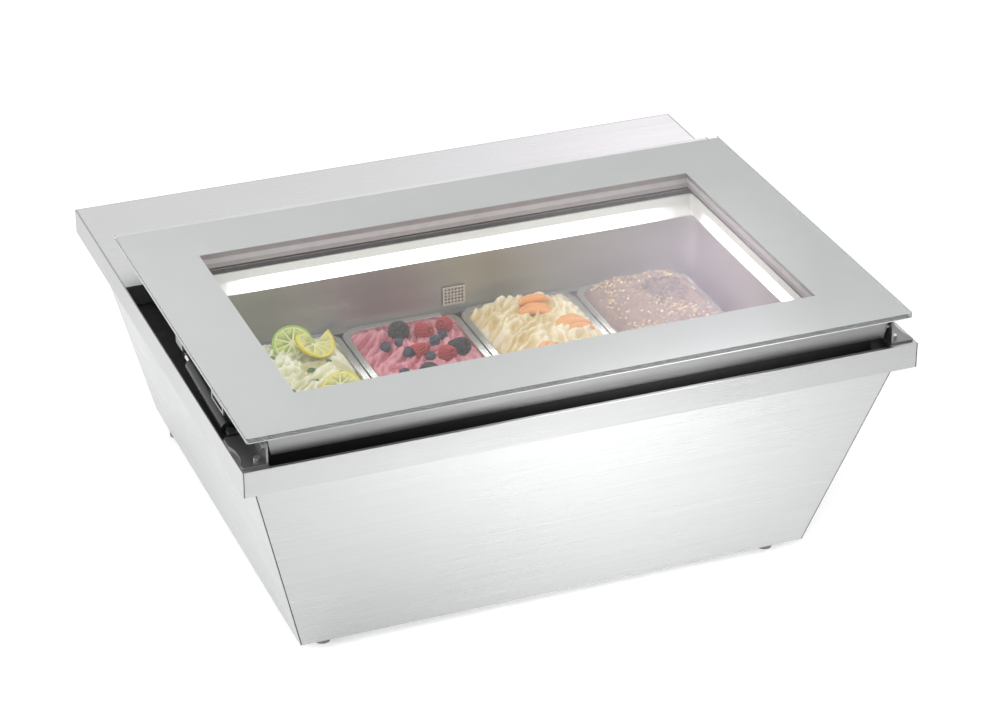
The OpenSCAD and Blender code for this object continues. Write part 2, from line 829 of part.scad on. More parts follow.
module fan_blades() {
    color([0.30, 0.31, 0.32]) translate([fan_x, machine_y, fan_z]) difference() {
        union() {
            translate([-2, 0, 0]) rotate([0, 90, 0]) cylinder(r = hub_r, h = shroud_t);
            intersection() {
                for (i = [0:4]) rotate([i * 72, 0, 0]) translate([5, 0, (fan_r + hub_r) / 2 - 4])
                    rotate([0, 0, 32]) cube([1.6, 34, fan_r - hub_r + 12], center = true);
                translate([-2, 0, 0]) rotate([0, 90, 0]) cylinder(r = fan_r, h = shroud_t, $fn = 96);
            }
        }
        translate([-5, 0, 0]) rotate([0, 90, 0]) cylinder(r = 3 + run, h = shroud_t + 12);
    }
}

module filter_drier() {
    color([0.72, 0.43, 0.26]) translate([drier_x, back_y - 46, z_machine + 40]) {
        cylinder(r = 11, h = 84);
        translate([0, 0, 84]) cylinder(r1 = 11, r2 = 4, h = 10);
        translate([0, 0, 94]) cylinder(r = 4, h = 10);
        translate([0, 0, -10]) cylinder(r1 = 4, r2 = 11, h = 10);
    }
}

module refrigerant_lines() {
    y_out = foam_back + 12;
    z_low = z_coil - (coil_rows - 1) * coil_pitch;
    z_can = z_machine + 16 + compressor_h + 4;
    z_high = z_rim - 44;
    drier = [drier_x, back_y - 46, z_machine + 144];
    // Room between the coil's end and the compressor, which the liquid line runs in
    room = machine_y - compressor_r - compressor_seam - y_out;
    y_liquid = y_out + min(8, room / 2);
    out = [condenser_x + 0.75 * condenser_t, machine_y - condenser_l / 2 - 6, z_machine + header_low];
    color([0.74, 0.45, 0.28]) {
        // Suction: from the coil's upper end to the compressor
        pipe([[header_x, y_out, z_coil], [header_x, y_out + 14, z_coil], [header_x, y_out + 14, z_high],
            [compressor_x + compressor_r * 0.55, y_out + 14, z_high],
            [compressor_x + compressor_r * 0.55, machine_y + compressor_r * 0.55, z_high],
            [compressor_x + compressor_r * 0.55, machine_y + compressor_r * 0.55, z_can]], 4);
        // Discharge: from the compressor to the condenser's header
        pipe([[compressor_x - compressor_r * 0.55, machine_y + compressor_r * 0.4, z_can],
            [compressor_x - compressor_r * 0.55, machine_y + compressor_r * 0.4, z_high + 12],
            [condenser_x + condenser_t / 4, machine_y + compressor_r * 0.4, z_high + 12],
            [condenser_x + condenser_t / 4, machine_y - condenser_l / 2 - 6, z_high + 12],
            [condenser_x + condenser_t / 4, machine_y - condenser_l / 2 - 6,
                z_machine + header_low + header_l]], 3);
        // From the condenser to the drier
        pipe([out, [out[0], out[1], z_machine + 5], [drier[0], out[1], z_machine + 5],
            [drier[0], drier[1], z_machine + 5], [drier[0], drier[1], z_machine + 30]], 3);
        // Liquid: down from the drier's far end to the coil's lower end
        pipe([drier, [drier[0], drier[1], drier[2] + 20], [drier[0], y_liquid, drier[2] + 20],
            [drier[0], y_liquid, z_low - 24], [header_x, y_liquid, z_low - 24],
            [header_x, y_liquid, z_low], [header_x, y_out, z_low]], 1.5);
    }
}

module led_driver() {
    color([0.90, 0.90, 0.90]) translate([condenser_x + 60, foam_back, z_rim - 76])
        cube([110, 24, 34]);
}

// ---- Controls on the rear panel ----

module controller_case() {
    color([0.09, 0.09, 0.10]) translate([control_x, back_y, control_z]) difference() {
        union() {
            translate([-control_w / 2, 0, -control_h / 2]) cube([control_w, bezel_t, control_h]);
            translate([-control_w / 2 + 3.5, -52, -control_h / 2 + 3.5])
                cube([control_w - 7, 52.5, control_h - 7]);
        }
        // Recess for the window
        translate([-control_w / 2 + 5, bezel_t - 1, -9]) cube([34, 2, 18]);
        for (i = [0:2])
            translate([key_x0 + i * key_pitch, bezel_t - 3, 0])
                cube([key_w + 2 * run + 0.1, 2 * 3 + 0.1, key_w + 2 * run + 0.1], center = true);
    }
}

module display_window() {
    color([0.25, 0.05, 0.05])
        translate([control_x - control_w / 2 + 5.1, back_y + bezel_t - 1, control_z - 8.9])
        cube([33.8, 1.2, 17.8]);
}

module key(i) {
    color([0.55, 0.56, 0.57])
        translate([control_x + key_x0 + i * key_pitch, back_y + bezel_t - 2.2, control_z])
            translate([-key_w / 2, 0, -key_w / 2]) cube([key_w, 2.2 + key_proud, key_w]);
}

module set_key() { key(0); }
module up_key() { key(1); }
module down_key() { key(2); }

rocker_r = 12;
rocker_w = 16;
rocker_tilt = 12;

module switch_housing() {
    color([0.06, 0.06, 0.06]) translate([switch_x, back_y, switch_z]) difference() {
        union() {
            translate([-15, 0, -17]) cube([30, 2, 34]);
            translate([-12.6, -24, -14.6]) cube([25.2, 24.5, 29.2]);
        }
        translate([-rocker_w / 2 - 0.4, -16, -rocker_r - 0.8])
            cube([rocker_w + 0.8, 20, 2 * rocker_r + 1.6]);
        translate([0, -3, 0]) rotate([0, 90, 0]) cylinder(r = 2 + run, h = rocker_w + 6, center = true);
    }
}

module switch_rocker() {
    color([0.75, 0.10, 0.08]) translate([switch_x, back_y - 3, switch_z]) {
        rotate([rocker_tilt, 0, 0]) intersection() {
            along_x(rocker_w)
                polygon([[-7, -rocker_r], [6.5, -rocker_r], [4, 0], [6.5, rocker_r], [-7, rocker_r]]);
            rotate([0, 90, 0]) cylinder(r = rocker_r, h = far, center = true);
        }
        rotate([0, 90, 0]) cylinder(r = 2, h = rocker_w + 5, center = true);
    }
}

module power_inlet() {
    color([0.07, 0.07, 0.07]) translate([inlet_x, back_y, inlet_z]) {
        difference() {
            union() {
                translate([-24, 0, -14]) cube([48, 3, 28]);
                translate([-13.6, -26, -10.6]) cube([27.2, 26.5, 21.2]);
            }
            translate([-12, -17, -8]) cube([24, 30, 16]);
        }
        // Contact blades
        for (x = [-7, 0, 7])
            translate([x - 1, -18, x == 0 ? 0 : -4]) cube([2, 11, 4]);
    }
}

// ---- Lid hinges ----

module hinge_brackets() {
    color([0.60, 0.60, 0.60]) for (s = [-1, 1]) {
        // Base leaf, with a scooped outer edge
        translate([0, 0, z_rim]) linear_extrude(leaf_t) difference() {
            translate([s * (leaf_x + leaf_w / 2), -leaf_f + leaf_l / 2]) rounded_rect(leaf_w, leaf_l, 3);
            translate([s * (leaf_x + leaf_w + 57), -leaf_f + leaf_l / 2 - 7]) circle(62, $fn = 128);
            translate([s * bolt_x, bolt_y]) circle(2.6);
        }
        // Upright leaf, round about the hinge pin
        along_leaf(s) difference() {
            union() {
                translate([hinge_y, hinge_z]) circle(leaf_r);
                translate([-leaf_f, z_rim + 0.2]) square([leaf_r + 14, hinge_z - z_rim - 0.2]);
                polygon([[hinge_y, hinge_z + leaf_r * 0.2], [hinge_y, z_rim + 0.2],
                    [hinge_y + 34, z_rim + 0.2], [hinge_y + leaf_r * 0.9, hinge_z]]);
            }
            translate([hinge_y, hinge_z]) circle(pin_r);
        }
    }
}

module along_leaf(s) {
    translate([s * (leaf_x + leaf_t / 2), 0, 0]) along_x(leaf_t) children();
}

module bracket_bolts() {
    color([0.50, 0.50, 0.51]) for (s = [-1, 1])
        translate([s * bolt_x, bolt_y, z_rim + leaf_t]) {
            cylinder(r = 4.2, h = 3.4);
            translate([0, 0, -leaf_t]) cylinder(r = 2.5, h = leaf_t);
        }
}

module hinge_pins() {
    color([0.62, 0.62, 0.63]) for (s = [-1, 1])
        translate([s * (leaf_x + leaf_t), hinge_y, hinge_z]) rotate([0, -s * 90, 0]) {
            cylinder(r = pin_r, h = leaf_t + block_t + 2);
            translate([0, 0, -2]) cylinder(r = pin_r + 2, h = 2);
        }
}

// ---- Lid ----

module lid_plate(z_low, z_high) {
    translate([0, (glass_b - glass_f) / 2, z_low])
        linear_extrude(z_high - z_low) rounded_rect(lid_w, lid_d, 3);
}

module lid_glass() {
    color([0.80, 0.86, 0.86, 0.35]) lid_plate(z_glass, z_glass + glass_t);
}

module lid_border() {
    color([0.77, 0.78, 0.77]) difference() {
        lid_plate(z_frame_top, z_glass);
        block(z_frame_top - 1, z_glass + 1, [window_x, window_f, window_b]);
    }
}

module lid_frame() {
    t = frame_t;
    color([0.70, 0.71, 0.71]) {
        difference() {
            union() {
                difference() {
                    taper(z_frame, z_frame_top, frame_low, frame_high);
                    taper(z_frame + t, z_frame_top + 1,
                        frame_low - [t, t, t], frame_high - [t, t, t]);
                }
                // Blocks that the hinge pins turn in
                for (s = [-1, 1]) intersection() {
                    translate([s * frame_x - (s > 0 ? block_t + 3 : -3) , -frame_f, z_frame])
                        cube([block_t, 24, frame_h]);
                    taper(z_frame, z_frame_top, frame_low, frame_high);
                }
            }
            block(z_frame - 1, z_frame + t + 1, [opening_x, opening_f, opening_b]);
            for (s = [-1, 1])
                translate([s * frame_x, hinge_y, hinge_z]) rotate([0, 90, 0])
                    cylinder(r = pin_r + run, h = 60, center = true);
        }
    }
}

module lower_pane() {
    z = z_frame + frame_t;
    color([0.80, 0.86, 0.86, 0.35])
        block(z, z + pane_t, [window_x + 30, window_f + 30, window_b + 30]);
}

module pane_spacer() {
    z = z_frame + frame_t + pane_t;
    color([0.46, 0.42, 0.42]) difference() {
        block(z, z_frame_top, [window_x + spacer_out, window_f + spacer_out, window_b + spacer_out]);
        block(z - 1, z_frame_top + 1, [window_x + spacer_in, window_f + spacer_in, window_b + spacer_in]);
    }
}

module lid_gasket() {
    w = gasket_w;
    inner = [mouth_x + 15, mouth_f + 20, mouth_b + 2];
    color([0.15, 0.15, 0.15]) difference() {
        block(z_rim + gasket_gap, z_frame, [inner[0] + w, inner[1] + w, inner[2] + w]);
        block(z_rim - 1, z_frame + 1, inner);
    }
}

module lid_brackets() {
    lip = 2;
    reach = lid_w / 2 - 0.5 - frame_x;
    color([0.62, 0.62, 0.62]) for (s = [-1, 1]) mirror([s < 0 ? 1 : 0, 0, 0]) {
        // Plate that carries the strut's upper end
        translate([frame_x, lug_y - 14, z_frame_top - lip]) cube([reach, 28, lip]);
        translate([bracket_in, lug_y - 14, lug_z - 8]) cube([bracket_t, 28, z_frame_top - lug_z + 8]);
        translate([frame_x + reach - lip, lug_y - 14, z_frame_top - 11]) cube([lip, 28, 11]);
        // Stiffener behind the hinge, with a slot in its outer edge
        translate([frame_x, anchor_y + 2, z_frame_top - lip]) cube([reach, 48, lip]);
        difference() {
            translate([frame_x + reach - lip, anchor_y + 2, z_frame_top - 12]) cube([lip, 48, 12]);
            translate([frame_x, anchor_y + 7, z_frame_top - 9]) cube([60, 38, 5]);
        }
    }
}

// ---- Gas struts ----

module strut_anchors() {
    z = z_rim - channel_drop + channel_t;
    color([0.45, 0.45, 0.46]) for (s = [-1, 1]) mirror([s < 0 ? 1 : 0, 0, 0]) {
        translate([bracket_in, anchor_y - 8, z]) cube([bracket_t, 16, anchor_z - z]);
        translate([bracket_in, anchor_y, anchor_z]) rotate([0, 90, 0]) cylinder(r = 8, h = bracket_t);
        translate([bracket_in - 8, anchor_y - 8, z]) cube([bracket_t + 8, 16, bracket_t]);
        translate([bracket_in, anchor_y, anchor_z]) rotate([0, 90, 0])
            cylinder(r = stud_r, h = strut_x + eye_w / 2 + 1 - bracket_in);
        translate([strut_x + eye_w / 2 + gap, anchor_y, anchor_z]) rotate([0, 90, 0])
            cylinder(r = stud_r + 1.5, h = 1.5);
    }
}

// Places a strut's own axis, which starts at the anchor and runs to the lid's bracket
module strut_axis(s) {
    translate([s * strut_x, anchor_y, anchor_z]) rotate([strut_pitch, 0, 0]) rotate([-90, 0, 0]) children();
}

module strut_tube(s) {
    color([0.10, 0.10, 0.11]) strut_axis(s) difference() {
        union() {
            translate([0, 0, tube_start]) cylinder(r = strut_r, h = tube_end - tube_start);
            rotate([0, 90, 0]) cylinder(r = eye_r, h = eye_w, center = true);
            cylinder(r = 3.5, h = tube_start + 1);
        }
        rotate([0, 90, 0]) cylinder(r = stud_r + run, h = 2 * eye_w, center = true);
        translate([0, 0, rod_start - 30]) cylinder(r = rod_r + run, h = far);
    }
}

module strut_rod(s) {
    color([0.75, 0.75, 0.76]) strut_axis(s) {
        translate([0, 0, rod_start]) cylinder(r = rod_r, h = strut_len - rod_start - 4);
        translate([0, 0, strut_len]) rotate([0, 90, 0]) cylinder(r = eye_r, h = eye_w, center = true);
        // Stub that faces the lid's bracket
        translate([0, 0, strut_len]) rotate([0, -s * 90, 0])
            cylinder(r = stud_r, h = strut_x - bracket_in - bracket_t - gap);
    }
}

module strut_tube_left() { strut_tube(-1); }
module strut_tube_right() { strut_tube(1); }
module strut_rod_left() { strut_rod(-1); }
module strut_rod_right() { strut_rod(1); }

base_tray();
front_panel();
left_panel();
right_panel();
rear_panel();
rim_frame();
channel_tray();
rear_shelf();
insulation();
tank_liner();
tank_collar();
light_diffuser();
led_strips();
cooling_coil();
sensor_cover();
temperature_probe();
pan_rails();
pan_1();
pan_2();
pan_3();
pan_4();
ice_cream_1();
ice_cream_2();
ice_cream_3();
ice_cream_4();
compressor();
compressor_grommets();
condenser();
fan_shroud();
fan_motor();
fan_blades();
filter_drier();
refrigerant_lines();
controller_case();
display_window();
set_key();
up_key();
down_key();
switch_housing();
switch_rocker();
power_inlet();
led_driver();
cabinet_screws();
hinge_brackets();
bracket_bolts();
hinge_pins();
strut_anchors();
feet();
lid_glass();
lid_border();
lid_frame();
lower_pane();
pane_spacer();
lid_gasket();
lid_brackets();
strut_tube_left();
strut_tube_right();
strut_rod_left();
strut_rod_right();
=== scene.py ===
"""A countertop display freezer: brushed steel cabinet, lit tank, four pans of ice cream and a glass lid."""
import json
import math
import random

import bmesh
import bpy
from bpy.props import FloatProperty, FloatVectorProperty, IntProperty, PointerProperty
from mathutils import Matrix, Vector, noise


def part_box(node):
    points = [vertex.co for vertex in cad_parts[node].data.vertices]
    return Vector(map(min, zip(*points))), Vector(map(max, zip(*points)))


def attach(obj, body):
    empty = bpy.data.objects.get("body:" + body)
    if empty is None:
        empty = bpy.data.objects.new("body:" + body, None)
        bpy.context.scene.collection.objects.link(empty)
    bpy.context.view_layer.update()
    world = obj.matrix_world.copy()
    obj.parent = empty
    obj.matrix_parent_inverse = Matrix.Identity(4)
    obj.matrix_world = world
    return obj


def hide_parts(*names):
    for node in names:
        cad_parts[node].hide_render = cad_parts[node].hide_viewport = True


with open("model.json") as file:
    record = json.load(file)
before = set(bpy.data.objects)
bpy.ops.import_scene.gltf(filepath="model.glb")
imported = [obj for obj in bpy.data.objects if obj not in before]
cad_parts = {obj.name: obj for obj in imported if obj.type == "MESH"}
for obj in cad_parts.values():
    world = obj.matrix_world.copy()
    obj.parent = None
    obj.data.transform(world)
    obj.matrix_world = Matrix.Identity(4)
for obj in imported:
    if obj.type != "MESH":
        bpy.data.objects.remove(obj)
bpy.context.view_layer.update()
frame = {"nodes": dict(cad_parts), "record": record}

bl_info = {
    "name": "Display freezer",
    "version": (1, 0, 0),
    "blender": (4, 5, 0),
    "location": "3D View > Sidebar > Freezer",
    "description": "Builds a countertop ice cream freezer with its contents",
    "category": "Object",
}

SLOT_OF = {row["node"]: row["material_slot"] for row in frame["record"]["subparts"]}
MM = 0.001
WALL = 1.2 * MM  # sheet steel of the cabinet panels


# ---- Sizes and colours that a user would change ----

def colour_property(name, description, default):
    return FloatVectorProperty(
        name=name, description=description, default=default, size=3, min=0.0, max=1.0, subtype="COLOR")


class FinishSettings(bpy.types.PropertyGroup):
    shell: colour_property("Shell", "Colour of the brushed cabinet steel", (0.43, 0.433, 0.434))
    tank: colour_property("Tank", "Colour of the tank's steel", (0.41, 0.398, 0.378))
    border: colour_property("Border", "Colour of the enamel under the glass", (0.47, 0.482, 0.478))
    # Near-black channel: a dark trough whose colour also stands in, as painted shade, for the shadow in the deep
    # gap round the lid
    channel: colour_property("Channel", "Colour of the channel round the lid", (0.026, 0.026, 0.027))
    glow: FloatProperty(
        name="Glow", description="Strength of the light ring", default=4.5, min=0.0, max=20.0)
    edge: FloatProperty(
        name="Edge", description="Width of the softened steel edges",
        default=0.5 * MM, min=0.0, max=3 * MM, subtype="DISTANCE", unit="LENGTH")


class IceCreamSettings(bpy.types.PropertyGroup):
    citrus: colour_property("Citrus", "Colour of the lemon ice cream", (0.90, 0.89, 0.72))
    berry: colour_property("Berry", "Colour of the berry ice cream", (0.76, 0.33, 0.38))
    vanilla: colour_property("Vanilla", "Colour of the vanilla ice cream", (0.90, 0.80, 0.60))
    chocolate: colour_property("Chocolate", "Colour of the nut ice cream", (0.29, 0.175, 0.13))
    relief: FloatProperty(
        name="Relief", description="Height of the spatula marks",
        default=5.5 * MM, min=0.0, max=10 * MM, subtype="DISTANCE", unit="LENGTH")
    seed: IntProperty(name="Seed", description="Start of the scattered toppings", default=7, min=0, max=999)


class StageSettings(bpy.types.PropertyGroup):
    floor: colour_property("Floor", "Colour of the floor", (0.80, 0.80, 0.80))
    floor_glow: FloatProperty(name="Floor glow", description="Own light of the white floor", default=0.35, min=0.0)
    key_power: FloatProperty(
        name="Key light", description="Power of the large overhead light", default=20.0, min=0.0, unit="POWER")
    fill_power: FloatProperty(
        name="Floor light", description="Power of the lamp over the floor in front",
        default=4.0, min=0.0, unit="POWER")
    softbox: FloatProperty(name="Softbox", description="Brightness of the softbox behind", default=2.7, min=0.0)
    softbox_colour: colour_property("Softbox colour", "Colour of the softbox behind", (1.0, 0.88, 1.0))
    sky: FloatProperty(name="Sky", description="Brightness of the studio round the object", default=0.92, min=0.0)


def finish():
    return bpy.context.scene.freezer_finish


def ice():
    return bpy.context.scene.freezer_ice


# ---- Meshes ----

def add_piece(name, verts, faces, materials, body, replaces=(), slot=None, smooth=True, pick=None):
    """A mesh object on a CAD body. pick gives each face's material number."""
    mesh = bpy.data.meshes.new(name)
    mesh.from_pydata([tuple(v) for v in verts], [], [tuple(f) for f in faces])
    for material in materials:
        mesh.materials.append(material)
    if pick:
        mesh.polygons.foreach_set("material_index", [pick(i) for i in range(len(faces))])
    if smooth:
        mesh.shade_smooth()
    mesh.validate()
    mesh.update()
    obj = bpy.data.objects.new(name, mesh)
    bpy.context.scene.collection.objects.link(obj)
    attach(obj, body)
    if replaces:
        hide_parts(*replaces)
    return obj


def on_circle(radius, angle, z=0.0):
    return Vector((radius * math.cos(angle), radius * math.sin(angle), z))


class Shape:
    """Collects the verts and faces of a piece, with a material number for each face."""

    def __init__(self):
        self.verts = []
        self.faces = []
        self.marks = []

    def add(self, verts, faces, mark=0):
        start = len(self.verts)
        self.verts.extend(Vector(v) for v in verts)
        self.faces.extend([start + i for i in face] for face in faces)
        self.marks.extend([mark] * len(faces))

    def loft(self, loops, mark=0, ring=True, caps=False):
        """Joins loops of equally many points. ring closes the last loop to the first."""
        count = len(loops[0])
        verts = [p for loop in loops for p in loop]
        faces = []
        for k in range(len(loops) if ring else len(loops) - 1):
            a = k * count
            b = ((k + 1) % len(loops)) * count
            faces += [(a + i, a + (i + 1) % count, b + (i + 1) % count, b + i) for i in range(count)]
        if caps:
            faces.append(tuple(reversed(range(count))))
            faces.append(tuple((len(loops) - 1) * count + i for i in range(count)))
        self.add(verts, faces, mark)

    def ball(self, centre, radius, rings, turns, matrix=None):
        verts = [(0, 0, radius)]
        for i in range(1, rings):
            a = math.pi * i / rings
            verts += [on_circle(radius * math.sin(a), 2 * math.pi * j / turns, radius * math.cos(a))
                      for j in range(turns)]
        verts.append((0, 0, -radius))
        faces = [(0, 1 + j, 1 + (j + 1) % turns) for j in range(turns)]
        for i in range(rings - 2):
            a = 1 + i * turns
            b = a + turns
            faces += [(a + j, b + j, b + (j + 1) % turns, a + (j + 1) % turns) for j in range(turns)]
        last = 1 + (rings - 2) * turns
        faces += [(last + j, len(verts) - 1, last + (j + 1) % turns) for j in range(turns)]
        place = Matrix.Translation(centre) @ (matrix or Matrix.Identity(4))
        self.add([place @ Vector(v) for v in verts], faces)

    def piece(self, name, materials, body, **extra):
        return add_piece(name, self.verts, self.faces, materials, body, pick=lambda i: self.marks[i], **extra)


def rounded_loop(half_x, y_low, y_high, radius, z, steps=8, along=1):
    """Points round a rectangle with rounded corners. along splits each straight side."""
    arcs = []
    corners = ((half_x, y_high, 0), (-half_x, y_high, 90), (-half_x, y_low, 180), (half_x, y_low, 270))
    for x, y, start in corners:
        cx = x - math.copysign(radius, x)
        cy = y - radius if y == y_high else y + radius
        turns = [math.radians(start + 90 * i / steps) for i in range(steps + 1)]
        arcs.append([Vector((cx, cy, 0)) + on_circle(radius, a, z) for a in turns])
    points = []
    for arc, after in zip(arcs, arcs[1:] + arcs[:1]):
        points += arc
        points += [arc[-1].lerp(after[0], k / along) for k in range(1, along)]
    return points


def soften(node, width=None, angle=35):
    """Rounds the edges of a CAD node with modifiers."""
    obj = frame["nodes"][node]
    weld = obj.modifiers.new("Weld", "WELD")
    weld.merge_threshold = 0.01 * MM
    bevel = obj.modifiers.new("Edges", "BEVEL")
    bevel.width = width or finish().edge
    bevel.segments = 2
    bevel.limit_method = "ANGLE"
    bevel.angle_limit = math.radians(angle)
    bevel.harden_normals = True


# ---- Shader node groups ----

SURFACE_OUTPUTS = [("Colour", "NodeSocketColor"), ("Roughness", "NodeSocketFloat"), ("Height", "NodeSocketFloat")]

def new_group(name, inputs, outputs):
    group = bpy.data.node_groups.new(name, "ShaderNodeTree")
    for socket, kind, value in inputs:
        made = group.interface.new_socket(name=socket, in_out="INPUT", socket_type=kind)
        made.default_value = value
    for socket, kind in outputs:
        group.interface.new_socket(name=socket, in_out="OUTPUT", socket_type=kind)
    start = group.nodes.new("NodeGroupInput")
    end = group.nodes.new("NodeGroupOutput")
    return group, start, end


def noise_at(tree, vector, scale, detail, rough=0.5):
    node = tree.nodes.new("ShaderNodeTexNoise")
    node.inputs["Detail"].default_value = detail
    node.inputs["Roughness"].default_value = rough
    if isinstance(scale, float):
        node.inputs["Scale"].default_value = scale
    else:
        tree.links.new(scale, node.inputs["Scale"])
    tree.links.new(vector, node.inputs["Vector"])
    return node.outputs["Fac"]


def remap(tree, value, low, high, to_low, to_high):
    node = tree.nodes.new("ShaderNodeMapRange")
    for socket, v in zip(("From Min", "From Max", "To Min", "To Max"), (low, high, to_low, to_high)):
        node.inputs[socket].default_value = v
    tree.links.new(value, node.inputs["Value"])
    return node.outputs["Result"]


def math_node(tree, operation, a, b):
    node = tree.nodes.new("ShaderNodeMath")
    node.operation = operation
    for i, v in enumerate((a, b)):
        if isinstance(v, (int, float)):
            node.inputs[i].default_value = v
        else:
            tree.links.new(v, node.inputs[i])
    return node.outputs[0]


def mix_colour(tree, factor, a, b):
    node = tree.nodes.new("ShaderNodeMix")
    node.data_type = "RGBA"
    tree.links.new(factor, node.inputs[0])
    for i, v in ((6, a), (7, b)):
        if isinstance(v, bpy.types.NodeSocket):
            tree.links.new(v, node.inputs[i])
        else:
            node.inputs[i].default_value = (*v, 1.0) if len(v) == 3 else v
    return node.outputs[2]


def darkened(tree, colour, value, shade):
    """The colour, less the shade where the value is high"""
    keep = math_node(tree, "SUBTRACT", 1.0, math_node(tree, "MULTIPLY", value, shade))
    tint = tree.nodes.new("ShaderNodeVectorMath")
    tint.operation = "SCALE"
    tree.links.new(colour, tint.inputs[0])
    tree.links.new(keep, tint.inputs["Scale"])
    return tint.outputs[0]


def brushed_grain_group():
    """Fine lines left by the brushing belt, with slow cloudy change over the sheet"""
    group, start, end = new_group(
        "Brushed grain",
        [("Grain", "NodeSocketVector", (3.0, 700.0, 700.0)), ("Colour", "NodeSocketColor", (0.8, 0.8, 0.8, 1)),
         ("Shade", "NodeSocketFloat", 0.05), ("Roughness", "NodeSocketFloat", 0.3)], SURFACE_OUTPUTS)
    where = group.nodes.new("ShaderNodeTexCoord").outputs["Object"]
    stretch = group.nodes.new("ShaderNodeVectorMath")
    stretch.operation = "MULTIPLY"
    group.links.new(where, stretch.inputs[0])
    group.links.new(start.outputs["Grain"], stretch.inputs[1])
    lines = noise_at(group, stretch.outputs[0], 1.0, 3.0, 0.65)
    cloud = noise_at(group, where, 5.0, 2.0)
    dark_lines = remap(group, lines, 0.35, 0.65, 0.0, 1.0)
    spread = math_node(group, "ADD", remap(group, lines, 0.3, 0.7, -0.05, 0.06),
                       remap(group, cloud, 0.3, 0.7, -0.03, 0.03))
    finish_group(group, start, end, dark_lines, spread, lines)
    return group


def cloudy_group():
    """Slow cloudy change, for handled plastics, rubber and paint"""
    group, start, end = new_group(
        "Handled surface",
        [("Scale", "NodeSocketFloat", 40.0), ("Colour", "NodeSocketColor", (0.5, 0.5, 0.5, 1)),
         ("Shade", "NodeSocketFloat", 0.1), ("Roughness", "NodeSocketFloat", 0.5)], SURFACE_OUTPUTS)
    where = group.nodes.new("ShaderNodeTexCoord").outputs["Object"]
    value = noise_at(group, where, start.outputs["Scale"], 4.0)
    finish_group(group, start, end, remap(group, value, 0.3, 0.7, 0.0, 1.0),
                 remap(group, value, 0.3, 0.7, -0.06, 0.06), value)
    return group


def finish_group(group, start, end, dark, spread, height):
    """Wires a group's outputs: colour darkened by the shade, spread roughness and height"""
    group.links.new(darkened(group, start.outputs["Colour"], dark, start.outputs["Shade"]), end.inputs["Colour"])
    group.links.new(math_node(group, "ADD", spread, start.outputs["Roughness"]), end.inputs["Roughness"])
    group.links.new(height, end.inputs["Height"])


def creamy_group():
    """Soft crumbly ice cream: streaks of a second colour, the same colour painted into the bottoms of the spatula
    marks as painted shade, and a fine frosty relief.
    """
    group, start, end = new_group(
        "Creamy",
        [("Base", "NodeSocketColor", (0.9, 0.9, 0.8, 1)), ("Streak_and_crease_shade", "NodeSocketColor", (0.8, 0.7, 0.5, 1)),
         ("Amount", "NodeSocketFloat", 0.5)],
        [("Colour", "NodeSocketColor"), ("Height", "NodeSocketFloat")])
    where = group.nodes.new("ShaderNodeTexCoord").outputs["Object"]
    slow = noise_at(group, where, 38.0, 5.0, 0.6)
    fine = noise_at(group, where, 420.0, 4.0, 0.7)
    # The fold attribute is 1 at the bottom of a spatula mark; there the second colour is painted in as painted
    # shade
    fold = group.nodes.new("ShaderNodeAttribute")
    fold.attribute_name = "fold"
    streak = math_node(group, "MULTIPLY", remap(group, slow, 0.48, 0.66, 0.0, 1.0), start.outputs["Amount"])
    mask = math_node(group, "MAXIMUM", streak, remap(group, fold.outputs["Fac"], 0.25, 0.95, 0.0, 1.0))
    mixed = mix_colour(group, mask, start.outputs["Base"], start.outputs["Streak_and_crease_shade"])
    frost = math_node(group, "MULTIPLY", remap(group, fine, 0.5, 0.75, 0.0, 1.0), 0.25)
    group.links.new(mix_colour(group, frost, mixed, (1.0, 1.0, 0.98)), end.inputs["Colour"])
    both = math_node(group, "ADD", math_node(group, "MULTIPLY", slow, 0.6),
                     math_node(group, "MULTIPLY", fine, 0.4))
    group.links.new(both, end.inputs["Height"])
    return group


def placed_group(material, name, builder, values):
    """Puts a node group in a material, made the first time it is asked for."""
    group = bpy.data.node_groups.get(name) or builder()
    node = material.node_tree.nodes.new("ShaderNodeGroup")
    node.node_tree = group
    for socket, value in values.items():
        if hasattr(value, "__len__") and len(value) == 3 and socket != "Grain":
            value = (*value, 1.0)
        node.inputs[socket].default_value = value
    return node


def add_bump(material, height, distance):
    tree = material.node_tree
    bump = tree.nodes.new("ShaderNodeBump")
    bump.inputs["Strength"].default_value = 1.0
    bump.inputs["Distance"].default_value = distance
    tree.links.new(height, bump.inputs["Height"])
    tree.links.new(bump.outputs["Normal"], tree.nodes["Principled BSDF"].inputs["Normal"])


def base_material(name, settings):
    material = bpy.data.materials.new(name)
    material.use_nodes = True
    shader = material.node_tree.nodes["Principled BSDF"]
    for socket, value in settings.items():
        shader.inputs[socket].default_value = value
    return material, shader


# ---- Materials ----

# How the grain is stretched: long along the small number
ALONG_X = (3.0, 700.0, 700.0)
ALONG_Y = (700.0, 3.0, 700.0)
ALONG_Z = (700.0, 700.0, 3.0)
ALL_ROUND = (3.0, 3.0, 700.0)


def surfaced(name, group_name, builder, values, relief, settings):
    """A material whose colour, roughness and fine relief come from a node group"""
    material, shader = base_material(name, settings)
    node = placed_group(material, group_name, builder, values)
    for output, socket in (("Colour", "Base Color"), ("Roughness", "Roughness")):
        if output in node.outputs:
            material.node_tree.links.new(node.outputs[output], shader.inputs[socket])
    add_bump(material, node.outputs["Height"], relief)
    return material


def steel(name, colour, grain=ALONG_X, roughness=0.32, shade=0.06, relief=0.012 * MM):
    return surfaced(name, "Brushed grain", brushed_grain_group,
                    {"Grain": grain, "Colour": colour, "Shade": shade, "Roughness": roughness},
                    relief, {"Metallic": 1.0})


